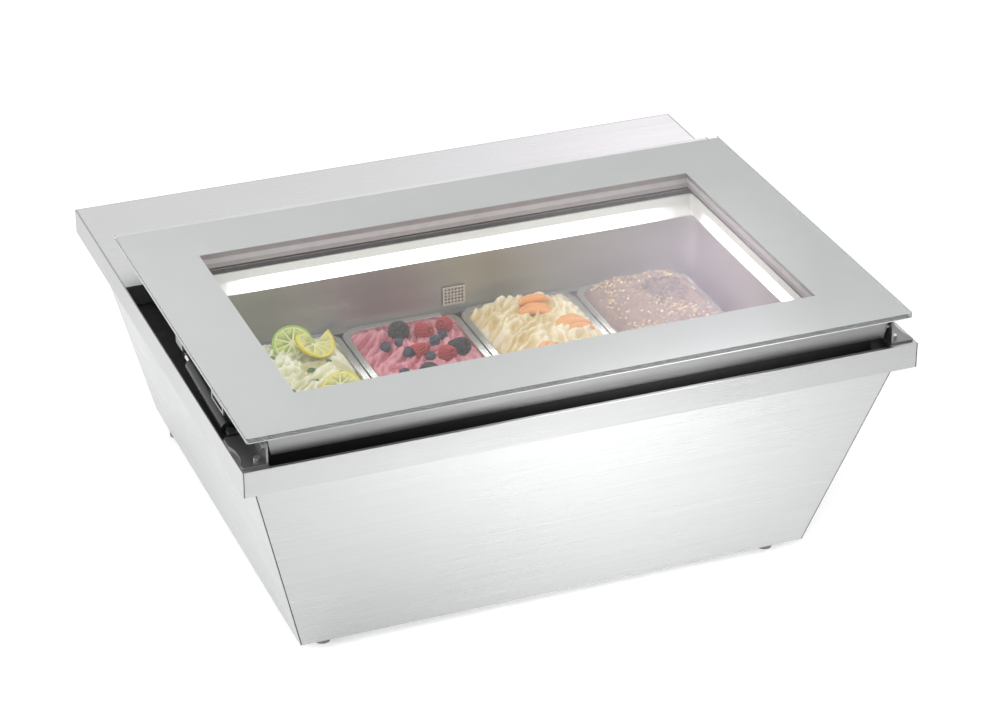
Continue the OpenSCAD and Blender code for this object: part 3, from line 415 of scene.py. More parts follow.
def handled(name, colour, roughness=0.5, scale=60.0, shade=0.12, relief=0.03 * MM, settings=None):
    return surfaced(name, "Handled surface", cloudy_group,
                    {"Scale": scale, "Colour": colour, "Shade": shade, "Roughness": roughness},
                    relief, settings or {})


def creamy(name, base, streak, amount):
    return surfaced(name, "Creamy", creamy_group, {"Base": base, "Streak_and_crease_shade": streak, "Amount": amount},
                    0.8 * MM, {"Roughness": 0.6})


def lay_joint_and_shade(material, mask, colour):
    """Lays a colour over the material's own where the mask is 1: the rim's dark joint line, and painted shade on
    the sensor cover
    """
    socket = material.node_tree.nodes["Principled BSDF"].inputs["Base Color"]
    plain = socket.links[0].from_socket
    material.node_tree.links.new(mix_colour(material.node_tree, mask, plain, colour), socket)
    return material


def object_xyz(tree):
    split = tree.nodes.new("ShaderNodeSeparateXYZ")
    tree.links.new(tree.nodes.new("ShaderNodeTexCoord").outputs["Object"], split.inputs[0])
    return split.outputs


def seamed_rim():
    """Brushed steel with the dark joint of the folded skirt near each front corner"""
    material = steel("rim steel", finish().shell, ALONG_X, 0.30)
    tree = material.node_tree
    where = object_xyz(tree)
    low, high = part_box("rim_frame")
    seam_in = 1.4 * MM
    side = math_node(tree, "ABSOLUTE", where["X"], 0.0)
    off = math_node(tree, "ABSOLUTE", math_node(tree, "SUBTRACT", side, high[0] - seam_in), 0.0)
    line = remap(tree, off, 0.4 * MM, 0.7 * MM, 1.0, 0.0)
    front = math_node(tree, "LESS_THAN", where["Y"], low[1] + 1 * MM)
    return lay_joint_and_shade(material, math_node(tree, "MULTIPLY", line, front), (0.06, 0.06, 0.06))


def perforated_cover():
    """Beige plastic; everything behind the cover's front face is painted dark as painted shade, so the holes look
    shadowed
    """
    material = handled("beige cover", (0.60, 0.53, 0.44), 0.55)
    tree = material.node_tree
    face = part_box("sensor_cover")[0][1]
    # Painted shade: the colour turns near-black just behind the front face, standing for the shadow inside the
    # holes
    hole_shade = remap(tree, object_xyz(tree)["Y"], face + 0.3 * MM, face + 0.6 * MM, 0.0, 1.0)
    return lay_joint_and_shade(material, hole_shade, (0.035, 0.028, 0.022))


def clear_glass():
    """Clear glass that lets lamp light straight through."""
    material, shader = base_material("lid glass", {
        "Base Color": (0.97, 0.98, 0.975, 1), "Roughness": 0.0, "IOR": 1.16, "Transmission Weight": 1.0})
    tree = material.node_tree
    output = tree.nodes["Material Output"]
    rays = tree.nodes.new("ShaderNodeLightPath")
    straight = tree.nodes.new("ShaderNodeBsdfTransparent")
    mixer = tree.nodes.new("ShaderNodeMixShader")
    either = math_node(tree, "MAXIMUM", rays.outputs["Is Shadow Ray"], rays.outputs["Is Diffuse Ray"])
    tree.links.new(either, mixer.inputs[0])
    tree.links.new(shader.outputs[0], mixer.inputs[1])
    tree.links.new(straight.outputs[0], mixer.inputs[2])
    tree.links.new(mixer.outputs[0], output.inputs["Surface"])
    return material


def lit_diffuser():
    """Frosted plastic that glows where the lamps stand behind it."""
    material, shader = base_material("lit diffuser", {
        "Base Color": (0.80, 0.79, 0.76, 1), "Roughness": 0.35, "Emission Strength": finish().glow})
    tree = material.node_tree
    mask = tree.nodes.new("ShaderNodeAttribute")
    mask.attribute_name = "glow"
    tree.links.new(mix_colour(tree, mask.outputs["Fac"], (0.0, 0.0, 0.0), (1.0, 1.0, 0.985)),
                   shader.inputs["Emission Color"])
    return material


def finish_table():
    """Each slot's maker of its material, with the maker's values"""
    f, i = finish(), ice()
    return {
        "shell_steel": (steel, "brushed shell", f.shell, ALONG_X, 0.30),
        "side_steel": (steel, "brushed side panels", (0.47, 0.475, 0.48), ALONG_Y, 0.30),
        "rim_steel": (seamed_rim,),
        "shelf_steel": (steel, "brushed shelf", (0.68, 0.685, 0.685), ALONG_X, 0.30),
        "tray_steel": (steel, "tray steel", (0.62, 0.63, 0.64), ALONG_X, 0.4),
        # Painted shade: the channel's near-black colour also stands for the shadow in the gap round the lid
        "channel_black": (handled, "channel_in_painted_shade", f.channel, 0.45, 60.0, 0.3),
        "foam": (handled, "rigid foam", (0.80, 0.68, 0.40), 0.9, 180.0, 0.25, 0.4 * MM),
        "tank_steel": (steel, "tank steel", f.tank, ALL_ROUND, 0.5, 0.05, 0.004 * MM),
        "diffuser_white": (lit_diffuser,),
        "led_board": (handled, "lamp board", (0.86, 0.86, 0.80), 0.5),
        "copper": (steel, "copper tube", (0.78, 0.40, 0.26), ALONG_Z, 0.28),
        "cover_beige": (perforated_cover,),
        "probe_steel": (steel, "probe steel", (0.7, 0.7, 0.7), ALONG_X, 0.25),
        "pan_steel": (steel, "pan steel", (0.80, 0.80, 0.79), ALONG_Y, 0.22, 0.04),
        # Each ice cream's second colour makes its streaks and is also painted into the creases as painted shade
        "citrus_ice": (creamy, "lemon ice cream", i.citrus, (0.55, 0.52, 0.25), 0.3),
        "berry_ice": (creamy, "berry ice cream", i.berry, (0.42, 0.055, 0.09), 0.5),
        "vanilla_ice": (creamy, "vanilla ice cream", i.vanilla, (0.62, 0.45, 0.18), 0.3),
        "chocolate_ice": (creamy, "nut ice cream", i.chocolate, (0.20, 0.11, 0.08), 0.7),
        "machine_black": (handled, "black enamel", (0.012, 0.012, 0.014), 0.25, 25.0),
        "grommet_rubber": (handled, "grommet rubber", (0.015, 0.015, 0.015), 0.8),
        "fin_aluminium": (steel, "fin aluminium", (0.72, 0.73, 0.74), ALONG_Z, 0.35),
        "shroud_plastic": (handled, "shroud plastic", (0.012, 0.012, 0.012), 0.55),
        "blade_plastic": (handled, "blade plastic", (0.08, 0.085, 0.09), 0.5),
        "control_black": (handled, "control plastic", (0.012, 0.012, 0.013), 0.32),
        "display_red": (handled, "display window", (0.05, 0.004, 0.004), 0.12, 60.0, 0.12, 0.0,
                        {"Coat Weight": 0.6}),
        "key_grey": (handled, "key plastic", (0.27, 0.28, 0.29), 0.5),
        "rocker_red": (handled, "rocker plastic", (0.50, 0.012, 0.008), 0.25),
        "driver_white": (handled, "driver case", (0.80, 0.80, 0.80), 0.5),
        "zinc_screw": (steel, "zinc plate", (0.56, 0.57, 0.60), ALONG_X, 0.3),
        "bracket_steel": (steel, "bracket steel", (0.23, 0.23, 0.225), ALONG_Y, 0.36),
        "pin_steel": (steel, "pin steel", (0.66, 0.66, 0.67), ALONG_X, 0.2),
        "foot_rubber": (handled, "foot rubber", (0.20, 0.20, 0.20), 0.75),
        "clear_glass": (clear_glass,),
        "border_enamel": (handled, "border enamel", f.border, 0.5, 14.0, 0.03, 0.0,
                          {"Specular IOR Level": 0.1}),
        "lid_steel": (steel, "lid steel", (0.25, 0.25, 0.25), ALONG_X, 0.34),
        "spacer_brown": (handled, "spacer", (0.36, 0.32, 0.335), 0.4),
        "gasket_rubber": (handled, "gasket rubber", (0.018, 0.018, 0.018), 0.7),
        "strut_black": (handled, "strut paint", (0.018, 0.018, 0.020), 0.3),
        "rod_chrome": (steel, "rod chrome", (0.85, 0.85, 0.86), ALONG_X, 0.1, 0.0),
    }


FINISHES = {}


def material_for(slot):
    if slot not in FINISHES:
        maker, *values = finish_table()[slot]
        FINISHES[slot] = maker(*values)
    return FINISHES[slot]


def dress(*nodes, slot=None):
    """Gives CAD nodes the material of their slot, or of another named finish."""
    for node in nodes:
        mesh = frame["nodes"][node].data
        mesh.materials.clear()
        mesh.materials.append(material_for(slot or SLOT_OF[node]))


def nodes_named(*starts):
    return [n for n in frame["nodes"] if any(n.startswith(s) for s in starts)]


# ---- Cabinet ----

class FREEZER_OT_cabinet(bpy.types.Operator):
    """Dress the panels, rim, shelf, tray and feet"""
    bl_idname = "freezer.cabinet"
    bl_label = "Cabinet"

    def execute(self, context):
        dress("rear_shelf", slot="shelf_steel")
        dress("rim_frame", slot="rim_steel")
        dress("front_panel", "rear_panel", "base_tray", "feet", "insulation", "channel_tray")
        dress("left_panel", "right_panel", slot="side_steel")
        for node in ("front_panel", "rim_frame", "rear_shelf", "left_panel", "right_panel"):
            soften(node)
        self.seam_shade_strips()
        return {"FINISHED"}

    def seam_shade_strips(self):
        """Dark strips in the open seam at each front corner, painted shade standing for the shadow in the gap"""
        low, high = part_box("front_panel")
        inner, outer, back_off, deep = 2.3 * MM, 1.15 * MM, 0.35 * MM, 1.0 * MM
        shape = Shape()
        for s in (-1, 1):
            loops = []
            for z in (low[2] + 0.5 * MM, high[2] - 0.5 * MM):
                x = self.leaning(z, "right_panel", 0, 1)
                y = self.leaning(z, "front_panel", 1, -1) + back_off
                loops.append([(s * (x - inner), y, z), (s * (x - outer), y, z),
                              (s * (x - outer), y + deep, z), (s * (x - inner), y + deep, z)])
            shape.loft(loops, ring=False, caps=True)
        # Painted shade: these strips stand for the shadow in the corner seams and take the black rubber finish
        shape.piece("seam_shade_strips", [material_for("gasket_rubber")], "cabinet", smooth=False)

    def leaning(self, z, node, axis, sign):
        """Place of a leaning panel's outer face at a height"""
        low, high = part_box(node)
        top = high[axis] if sign > 0 else low[axis]
        places = [v.co[axis] * sign for v in frame["nodes"][node].data.vertices]
        foot = sign * min(places) + sign * WALL
        return foot + (top - foot) * (z - low[2]) / (high[2] - low[2])


class FREEZER_OT_rear(bpy.types.Operator):
    """Add the pressed hoods over the air slots in the rear panel"""
    bl_idname = "freezer.rear"
    bl_label = "Rear louvres"

    rows = 9
    row_pitch = 16 * MM
    first_row = 56 * MM
    slot_starts = (-270 * MM, -160 * MM, -50 * MM)
    slot_length = 90 * MM

    def execute(self, context):
        low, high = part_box("rear_panel")
        shape = Shape()
        for row in range(self.rows):
            z = low[2] + self.first_row + row * self.row_pitch
            for x in self.slot_starts:
                self.hood(shape, x, x + self.slot_length, z, high[1])
        shape.piece("louvre_hoods", [material_for("shell_steel")], "cabinet")
        return {"FINISHED"}

    def hood(self, shape, left, right, z, back):
        """A half-round hood that is open below"""
        deep, tall, thick = 4.5 * MM, 7 * MM, 0.8 * MM
        loops = []
        for x, scale in ((left, 0.15), (left + 4 * MM, 1.0), (right - 4 * MM, 1.0), (right, 0.15)):
            outer = []
            inner = []
            for k in range(7):
                a = math.radians(90 * k / 6)
                outer.append((x, back + deep * scale * math.cos(a), z - tall + tall * math.sin(a)))
                inner.append((x, back + max(0.05 * MM, deep * scale - thick) * math.cos(a),
                              z - tall + (tall - thick) * math.sin(a)))
            loops.append(outer + inner[::-1])
        shape.loft(loops, ring=False, caps=True)


# ---- Tank, collar and light ----

class FREEZER_OT_tank(bpy.types.Operator):
    """Dress the tank, and build its round-cornered collar and light ring"""
    bl_idname = "freezer.tank"
    bl_label = "Tank and light"

    corner = 5 * MM
    wall = 2.8 * MM
    lean, lean_front, lean_back = 6 * MM, 14 * MM, 17 * MM

    def execute(self, context):
        dress("tank_liner", "pan_rails", "sensor_cover", "temperature_probe", "led_strips", "cooling_coil")
        low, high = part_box("light_diffuser")
        outer = (high[0], low[1], high[1])
        self.collar(outer, low[2], high[2])
        self.diffuser(outer, low[2], high[2])
        return {"FINISHED"}

    def collar(self, outer, z_low, z_high):
        """Folded steel plate round the mouth of the tank"""
        low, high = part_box("tank_collar")
        shape = Shape()
        sharp = 0.8 * MM
        lip = 0.3 * MM
        mouth = (outer[0] + lip, outer[1] - lip, outer[2] + lip)
        shape.loft([
            rounded_loop(high[0], low[1], high[1], sharp, z_low),
            rounded_loop(high[0], low[1], high[1], sharp, z_high - 0.6 * MM),
            rounded_loop(high[0] - 0.6 * MM, low[1] + 0.6 * MM, high[1] - 0.6 * MM, sharp, z_high),
            rounded_loop(mouth[0], mouth[1], mouth[2], self.corner, z_high),
            rounded_loop(mouth[0], mouth[1], mouth[2], self.corner, z_low),
        ])
        shape.piece("round_collar", [material_for("shell_steel")], "cabinet",
                    replaces=["tank_collar"], slot="shell_steel", smooth=False)

    def diffuser(self, outer, z_low, z_high):
        """Frosted ring that leans outwards to the top, with a dished face"""
        shape = Shape()
        levels = 14
        inner = (outer[0] - self.wall, outer[1] + self.wall, outer[2] - self.wall)

        def loop(t, inset, z):
            keep = 1 - t
            return rounded_loop(inner[0] - keep * self.lean + inset, inner[1] + keep * self.lean_front - inset,
                                inner[2] - keep * self.lean_back + inset, self.corner, z, 10, 40)
        face = []
        for k in range(levels + 1):
            t = k / levels
            dish = 0.6 * MM * math.sin(math.pi * t)
            face.append(loop(t, dish, z_low + (z_high - z_low) * t))
        back = [loop(1, self.wall - 0.1 * MM, z_high), loop(0, self.wall - 0.1 * MM, z_low)]
        shape.loft(face + back)
        obj = shape.piece("light_ring", [material_for("diffuser_white")], "cabinet",
                          replaces=["light_diffuser"], slot="diffuser_white")
        self.paint_glow(obj, outer, z_low, z_high)

    def paint_glow(self, obj, outer, z_low, z_high):
        """Full light along the back and sides, fading at the corners, at the top edge and at the front"""
        fade, start, front_end = 85 * MM, 35 * MM, outer[1] + 30 * MM
        lit_height, edge_fade = 0.5, 0.14
        glow = obj.data.attributes.new("glow", "FLOAT", "POINT")
        corners = [Vector((sx * outer[0], cy)) for sx in (-1, 1) for cy in (outer[1], outer[2])]
        values = []
        for v in obj.data.vertices:
            x, y, z = v.co
            near = min((Vector((x, y)) - c).length for c in corners)
            along = min(1.0, max(0.0, (near - start) / fade))
            height = (z - z_low) / (z_high - z_low)
            band = min(1.0, max(0.0, 1 - (height - lit_height) / edge_fade))
            front = 0.0 if y < front_end else 1.0
            values.append(along * along * (3 - 2 * along) * band * front)
        glow.data.foreach_set("value", values)


# ---- Ice cream ----

class Mound:
    """The surface of one pan's ice cream, as a height over the pan's own plan"""

    columns, rows = 84, 180
    corner = 22 * MM
    side_gap = 0.1 * MM
    below_rim = 5 * MM
    skirt = 30 * MM
    edge_calm = 10 * MM

    def __init__(self, number, crown, relief, stroke, seed):
        low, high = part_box(f"ice_cream_{number}")
        pan_low, pan_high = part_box(f"pan_{number}")
        self.x = (low[0] + high[0]) / 2
        self.y = (low[1] + high[1]) / 2
        self.half_w = (high[0] - low[0]) / 2 - self.side_gap
        self.half_l = (high[1] - low[1]) / 2 - self.side_gap
        self.level = pan_high[2] - self.below_rim
        self.crown = crown
        self.relief = relief
        self.stroke = stroke
        self.seed = seed
        self.number = number
        noise.seed_set(seed)

    def plan(self, u, v):
        """A point of the unit square, moved into the pan's rounded outline"""
        x, y = u * self.half_w, v * self.half_l
        over_x = abs(x) - (self.half_w - self.corner)
        over_y = abs(y) - (self.half_l - self.corner)
        if over_x > 0 and over_y > 0:
            k = max(over_x, over_y) / math.hypot(over_x, over_y)
            x = math.copysign(self.half_w - self.corner + over_x * k, x)
            y = math.copysign(self.half_l - self.corner + over_y * k, y)
        return x, y

    def height(self, x, y):
        """Height at a point given from the pan's centre"""
        u = min(1.0, abs(x) / self.half_w)
        v = min(1.0, abs(y) / self.half_l)
        rise = (1 - u ** 4) * (1 - v ** 8)
        edge = min((1 - u) * self.half_w, (1 - v) * self.half_l)
        free = min(1.0, edge / self.edge_calm)
        p = Vector((x, y, self.seed * 0.37))
        turn = self.stroke + 0.9 * noise.noise(Vector((x * 6, y * 6, self.seed)))
        along = p.x * math.cos(turn) + p.y * math.sin(turn)
        across = p.y * math.cos(turn) - p.x * math.sin(turn)
        swept = Vector((along * 30, across * 78, self.seed)) + noise.noise_vector(p * 26) * 0.8
        fold = noise.ridged_multi_fractal(swept, 0.75, 2.1, 5, 0.9, 1.8) - 1.1
        lump = noise.fractal(p * 24, 0.8, 2.0, 4)
        carve = 0.75 * fold + 1.1 * lump
        # self.fold is how deep the point lies in a spatula mark; it only steers painted shade in the creases
        self.fold = max(0.0, min(1.0, 0.55 - 0.62 * fold - 0.35 * lump))
        return self.level + self.crown * rise + self.relief * carve * (0.3 + 0.7 * free) + 2.0 * MM * free

    def top(self, x, y, rise):
        """A place above the surface, from millimetres off the pan's centre"""
        x, y = x * MM, y * MM
        return Vector((self.x + x, self.y + y, self.height(x, y) + rise * MM))

    def build(self, name, material, slot):
        columns, rows = self.columns, self.rows
        grid, crease_shade = [], []
        for j in range(rows + 1):
            for i in range(columns + 1):
                x, y = self.plan(2 * i / columns - 1, 2 * j / rows - 1)
                grid.append((self.x + x, self.y + y, self.height(x, y)))
                crease_shade.append(self.fold)

        def at(i, j):
            return j * (columns + 1) + i
        faces = [(at(i, j), at(i + 1, j), at(i + 1, j + 1), at(i, j + 1))
                 for j in range(rows) for i in range(columns)]
        rim = [at(i, 0) for i in range(columns)] + [at(columns, j) for j in range(rows)]
        rim += [at(i, rows) for i in range(columns, 0, -1)] + [at(0, j) for j in range(rows, 0, -1)]
        start, count = len(grid), len(rim)
        grid += [(grid[index][0], grid[index][1], self.level - self.skirt) for index in rim]
        crease_shade += [1.0] * count
        faces += [(rim[k], start + k, start + (k + 1) % count, rim[(k + 1) % count]) for k in range(count)]
        faces.append(tuple(range(start + count - 1, start - 1, -1)))
        obj = add_piece(name, grid, faces, [material], f"tub_{self.number}",
                        replaces=[f"ice_cream_{self.number}"], slot=slot)
        # The fold attribute carries painted shade: the colour darkens in the creases
        obj.data.attributes.new("fold", "FLOAT", "POINT").data.foreach_set("value", crease_shade)


def tilted(lean, turn):
    """A lean and then a turn, in degrees"""
    return Matrix.Rotation(math.radians(turn), 4, "Z") @ Matrix.Rotation(math.radians(lean), 4, "X")


def placed(centre, lean, turn):
    return Matrix.Translation(centre) @ tilted(lean, turn)


def berry(shape, centre, length, radius, bead, lean, turn):
    """A raspberry or bramble: rows of round drupelets on a blunt cone"""
    place = placed(centre, lean, turn)
    rows = max(3, round(length / (bead * 1.35)))
    for row in range(rows + 1):
        t = row / rows
        ring = radius * math.sqrt(max(0.0, 1 - (0.08 + 0.9 * t) ** 2.2)) if t < 1 else 0.0
        z = length * (t - 0.42)
        count = max(1, round(2 * math.pi * ring / (bead * 1.55)))
        for k in range(count):
            a = 2 * math.pi * (k + 0.5 * (row % 2)) / count
            shape.ball(place @ on_circle(ring, a, z), bead, 5, 7)
    stretch = Matrix.Diagonal((1, 1, length / radius / 2.1, 1))
    shape.ball(centre, radius * 0.78, 8, 12, tilted(lean, turn) @ stretch)


def blueberry(shape, centre, radius, lean, turn):
    """A round berry with a crown of short points round a dimple"""
    rings, turns = 12, 18
    place = placed(centre, lean, turn)
    steps = [math.pi * i / rings for i in range(2, rings)]
    profile = [(radius * 0.24, radius * 0.66), (radius * 0.34, radius * 0.98)]
    profile += [(radius * math.sin(a), radius * 0.9 * math.cos(a)) for a in steps]
    loops = []
    for r, z in profile:
        points = radius * 0.08 if z > radius * 0.9 else 0
        loops.append([place @ on_circle(r, 2 * math.pi * k / turns, z + points * (k % 2)) for k in range(turns)])
    shape.loft(loops, ring=False, caps=True)


def citrus_wheel(shape, centre, radius, thick, lean, turn, curl=0.0):
    """A slice with rind (mark 0), pith (1) and raised pulp segments (2). curl twists it like a spiral"""
    place = placed(centre, lean, turn)
    steps = 64
    cut = 1 if curl else 0

    def bent(r, a, z):
        lift = curl * (a / math.pi - 1) * r / radius
        return place @ on_circle(r, a, z + lift)

    def circle(r, z):
        span = 2 * math.pi * (1 - 0.004 * cut)
        return [bent(r, span * k / (steps - cut), z) for k in range(steps)]
    half = thick / 2
    rings = [(radius * 0.93, -half, 1), (radius * 0.985, -half * 0.8, 0), (radius, 0, 0),
             (radius * 0.985, half * 0.8, 0), (radius * 0.93, half, 0), (radius * 0.86, half, 1),
             (0.004 * radius, half, 1), (0.004 * radius, -half, 1), (radius * 0.86, -half, 1)]
    for k, (r, z, mark) in enumerate(rings):
        after = rings[(k + 1) % len(rings)]
        a, b = circle(r, z), circle(after[0], after[1])
        faces = [(i, (i + 1) % steps, steps + (i + 1) % steps, steps + i) for i in range(steps - cut)]
        shape.add(a + b, faces, mark)
    segments = 9
    for s in range(segments):
        a0 = 2 * math.pi * (s + 0.06) / segments
        a1 = 2 * math.pi * (s + 0.94) / segments
        for side in (1, -1):
            z = side * (half + 0.5 * MM)
            base = side * half * 0.9
            outline = [(radius * 0.16, (a0 + a1) / 2)]
            outline += [(radius * 0.82, a0 + (a1 - a0) * k / 6) for k in range(7)]
            high = [bent(r * 0.97, a, z) for r, a in outline]
            low = [bent(r, a, base) for r, a in outline]
            shape.loft([low, high], 2, ring=False, caps=True)


def fruit_wedge(shape, centre, length, width, thick, lean, turn):
    """A crescent slice of apricot: round back, two flat cut sides, curved along its length"""
    place = placed(centre, lean, turn)
    steps = 18
    loops = []
    for k in range(1, steps):
        t = k / steps
        a = math.pi * (t - 0.5)
        size = math.cos(a) ** 0.6
        x = length / 2 * math.sin(a)
        sag = 0.22 * length * (1 - math.cos(a))
        section = []
        for j in range(12):
            b = 2 * math.pi * j / 12
            y = width / 2 * size * math.cos(b)
            z = thick / 2 * size * (math.sin(b) if math.sin(b) > 0 else 0.45 * math.sin(b))
            section.append(place @ Vector((x, y - sag, z)))
        loops.append(section)
    shape.loft(loops, ring=False, caps=True)


def chip(shape, centre, size, rng, flat=1.0, mark=0):
    """An irregular crumb"""
    corners = [Vector((rng.uniform(-1, 1), rng.uniform(-1, 1), rng.uniform(-1, 1) * flat)).normalized() * size
               * rng.uniform(0.7, 1.1) for _ in range(9)]
    body = bmesh.new()
    for c in corners:
        body.verts.new(centre + Vector((c.x, c.y, c.z * flat)))
    bmesh.ops.convex_hull(body, input=body.verts)
    loose = [v for v in body.verts if not v.link_faces]
    bmesh.ops.delete(body, geom=loose, context="VERTS")
    body.verts.index_update()
    shape.add([v.co.copy() for v in body.verts], [[v.index for v in f.verts] for f in body.faces], mark)
    body.free()


def leaf(shape, centre, length, lean, turn):
    """A small mint leaf, folded along its rib"""
    place = placed(centre, lean, turn)
    steps = 8
    for side in (1, -1):
        spine = [Vector((length * (k / steps - 0.5), 0, 0)) for k in range(steps + 1)]
        edge = [Vector((length * (k / steps - 0.5), side * length * 0.28 * math.sin(math.pi * k / steps),
                        length * 0.10 * math.sin(math.pi * k / steps))) for k in range(steps + 1)]
        verts = [place @ v for v in spine + edge]
        n = steps + 1
        faces = [(k, k + 1, n + k + 1, n + k) if side > 0 else (k, n + k, n + k + 1, k + 1) for k in range(steps)]
        shape.add(verts, faces)


class FREEZER_OT_citrus(bpy.types.Operator):
    """Sculpt the lemon ice cream with its citrus slices and mint"""
    bl_idname = "freezer.citrus"
    bl_label = "Lemon ice cream"

    def execute(self, context):
        mound = Mound(1, 24 * MM, ice().relief * 1.15, 0.4, 11)
        mound.build("lemon_ice_cream", material_for("citrus_ice"), "citrus_ice")
        rind_green = handled("lime rind", (0.33, 0.50, 0.05), 0.35, 300.0)
        rind_yellow = handled("lemon rind", (0.80, 0.62, 0.02), 0.35, 300.0)
        pith = handled("citrus pith", (0.78, 0.80, 0.42), 0.5)
        lime = handled("lime pulp", (0.56, 0.64, 0.16), 0.22, 160.0, 0.25, 0.3 * MM)
        lemon = handled("lemon pulp", (0.76, 0.72, 0.24), 0.22, 160.0, 0.25, 0.3 * MM)
        limes = Shape()
        for x, y, lean, turn in ((4, 120, 34, -14), (-18, -60, 25, 40)):
            citrus_wheel(limes, mound.top(x, y, 7), 27 * MM, 4 * MM, lean, turn)
        limes.piece("lime_slices", [rind_green, pith, lime], "tub_1")
        lemons = Shape()
        for x, y, lean, turn, curl in ((26, 98, 36, 50, 15), (22, -20, 30, -50, 11), (-20, -120, 35, 10, 12)):
            citrus_wheel(lemons, mound.top(x, y, 9), 25 * MM, 4 * MM, lean, turn, curl * MM)
        lemons.piece("lemon_twists", [rind_yellow, pith, lemon], "tub_1")
        mint = Shape()
        for x, y, turn in ((10, 62, 20), (36, 70, 80), (-30, 96, 140), (40, 30, 10), (-35, 0, 60), (30, -80, 150),
                           (-44, -95, 30), (5, 30, 120)):
            leaf(mint, mound.top(x, y, 1.5), 15 * MM, 12, turn)
        mint.piece("mint_leaves", [handled("mint", (0.05, 0.16, 0.02), 0.45, 200.0, 0.3)], "tub_1")
        return {"FINISHED"}


class FREEZER_OT_berry(bpy.types.Operator):
    """Sculpt the berry ice cream with raspberries, brambles and blueberries"""
    bl_idname = "freezer.berry"
    bl_label = "Berry ice cream"

    def execute(self, context):
        mound = Mound(2, 11 * MM, ice().relief * 1.15, 1.2, 23)
        mound.build("berry_ice_cream", material_for("berry_ice"), "berry_ice")
        raspberries = Shape()
        for x, y, lean, turn in ((16, 109, 70, 20), (44, 118, 60, -40), (-6, 68, 80, 100), (22, 38, 65, 10),
                                 (-30, -10, 70, 70), (28, -60, 60, 130), (-20, -110, 75, 0), (38, -130, 70, 220)):
            berry(raspberries, mound.top(x, y, 5), 21 * MM, 9.5 * MM, 2.5 * MM, lean, turn)
        raspberries.piece("raspberries", [handled("raspberry", (0.52, 0.018, 0.022), 0.32, 400.0, 0.35)], "tub_2")
        bramble_fruit = Shape()
        for x, y, lean, turn in ((-14, 124, 55, 0), (44, 52, 50, 40), (-12, 8, 70, 10), (-40, -70, 60, 120),
                                 (10, -90, 60, 200)):
            berry(bramble_fruit, mound.top(x, y, 6), 24 * MM, 11.5 * MM, 3.2 * MM, lean, turn)
        dark = handled("bramble", (0.022, 0.010, 0.016), 0.22, 400.0, 0.2)
        bramble_fruit.piece("bramble_fruit", [dark], "tub_2")
        blueberries = Shape()
        for x, y, lean, turn in ((-44, 96, 30, 0), (-22, 104, 50, 90), (-22, 70, 20, 200), (36, 100, 40, 30),
                                 (20, 84, 60, 300), (2, 50, 35, 150), (-45, 20, 30, 40), (20, -25, 45, 10),
                                 (-15, -50, 30, 80), (45, -95, 40, 10)):
            blueberry(blueberries, mound.top(x, y, 3), 7.5 * MM, lean, turn)
        blueberries.piece("blueberries", [handled("blueberry", (0.045, 0.05, 0.09), 0.55, 260.0, 0.5)], "tub_2")
        return {"FINISHED"}


class FREEZER_OT_vanilla(bpy.types.Operator):
    """Sculpt the vanilla ice cream with its apricot slices"""
    bl_idname = "freezer.vanilla"
    bl_label = "Vanilla ice cream"

    def execute(self, context):
        mound = Mound(3, 32 * MM, ice().relief * 1.3, 0.9, 37)
        mound.build("vanilla_ice_cream", material_for("vanilla_ice"), "vanilla_ice")
        slices = Shape()
        for x, y, turn, count in ((2, 111, -6, 4), (28, 42, 12, 4), (-26, -30, 60, 4), (14, -104, -20, 4)):
            for k in range(count):
                spread = k - (count - 1) / 2
                off = Matrix.Rotation(math.radians(turn), 2) @ Vector((0, 9 * spread))
                fruit_wedge(slices, mound.top(x + off.x, y + off.y, 3.5), 44 * MM, 14 * MM, 12 * MM,
                            18, turn + 7 * spread)
        flesh = handled("apricot", (0.90, 0.36, 0.075), 0.25, 120.0, 0.25, 0.2 * MM, {"Subsurface Weight": 0.1})
        slices.piece("apricot_slices", [flesh], "tub_3")
        return {"FINISHED"}


class FREEZER_OT_chocolate(bpy.types.Operator):
    """Sculpt the nut ice cream with chopped nuts and chocolate flakes"""
    bl_idname = "freezer.chocolate"
    bl_label = "Nut ice cream"

    def execute(self, context):
        rng = random.Random(ice().seed)
        mound = Mound(4, 34 * MM, ice().relief * 0.9, 2.0, 41)
        mound.build("nut_ice_cream", material_for("chocolate_ice"), "chocolate_ice")
        nuts = Shape()
        flakes = Shape()
        patches = ((14, 84, 30, 36), (4, -60, 26, 30))
        while len(nuts.marks) < 15000:
            x, y = rng.uniform(-66, 66), rng.uniform(-162, 162)
            near = min(math.hypot((x - px) / rx, (y - py) / ry) for px, py, rx, ry in patches)
            band = 0.5 + 0.5 * math.sin(x / 13 + 1.5 * math.sin(y / 29))
            if near < 0.85 or rng.random() > 0.12 + 0.88 * band ** 3:
                continue
            chip(nuts, mound.top(x, y, 0.6), rng.uniform(1.3, 2.9) * MM, rng, 0.8, rng.randrange(3))
        for px, py, rx, ry in patches:
            for _ in range(260):
                a, r = rng.uniform(0, 2 * math.pi), math.sqrt(rng.random())
                x, y = px + rx * r * math.cos(a), py + ry * r * math.sin(a)
                chip(flakes, mound.top(x, y, 0.4), rng.uniform(1.4, 3.4) * MM, rng, 0.35)
        shades = [handled("nut kernel", (0.70, 0.50, 0.25), 0.55), handled("roast nut", (0.46, 0.27, 0.11), 0.55),
                  handled("nut skin", (0.80, 0.66, 0.42), 0.55)]
        nuts.piece("chopped_nuts", shades, "tub_4", smooth=False)
        dark = handled("dark chocolate", (0.055, 0.028, 0.022), 0.4)
        flakes.piece("chocolate_flakes", [dark], "tub_4", smooth=False)
        return {"FINISHED"}


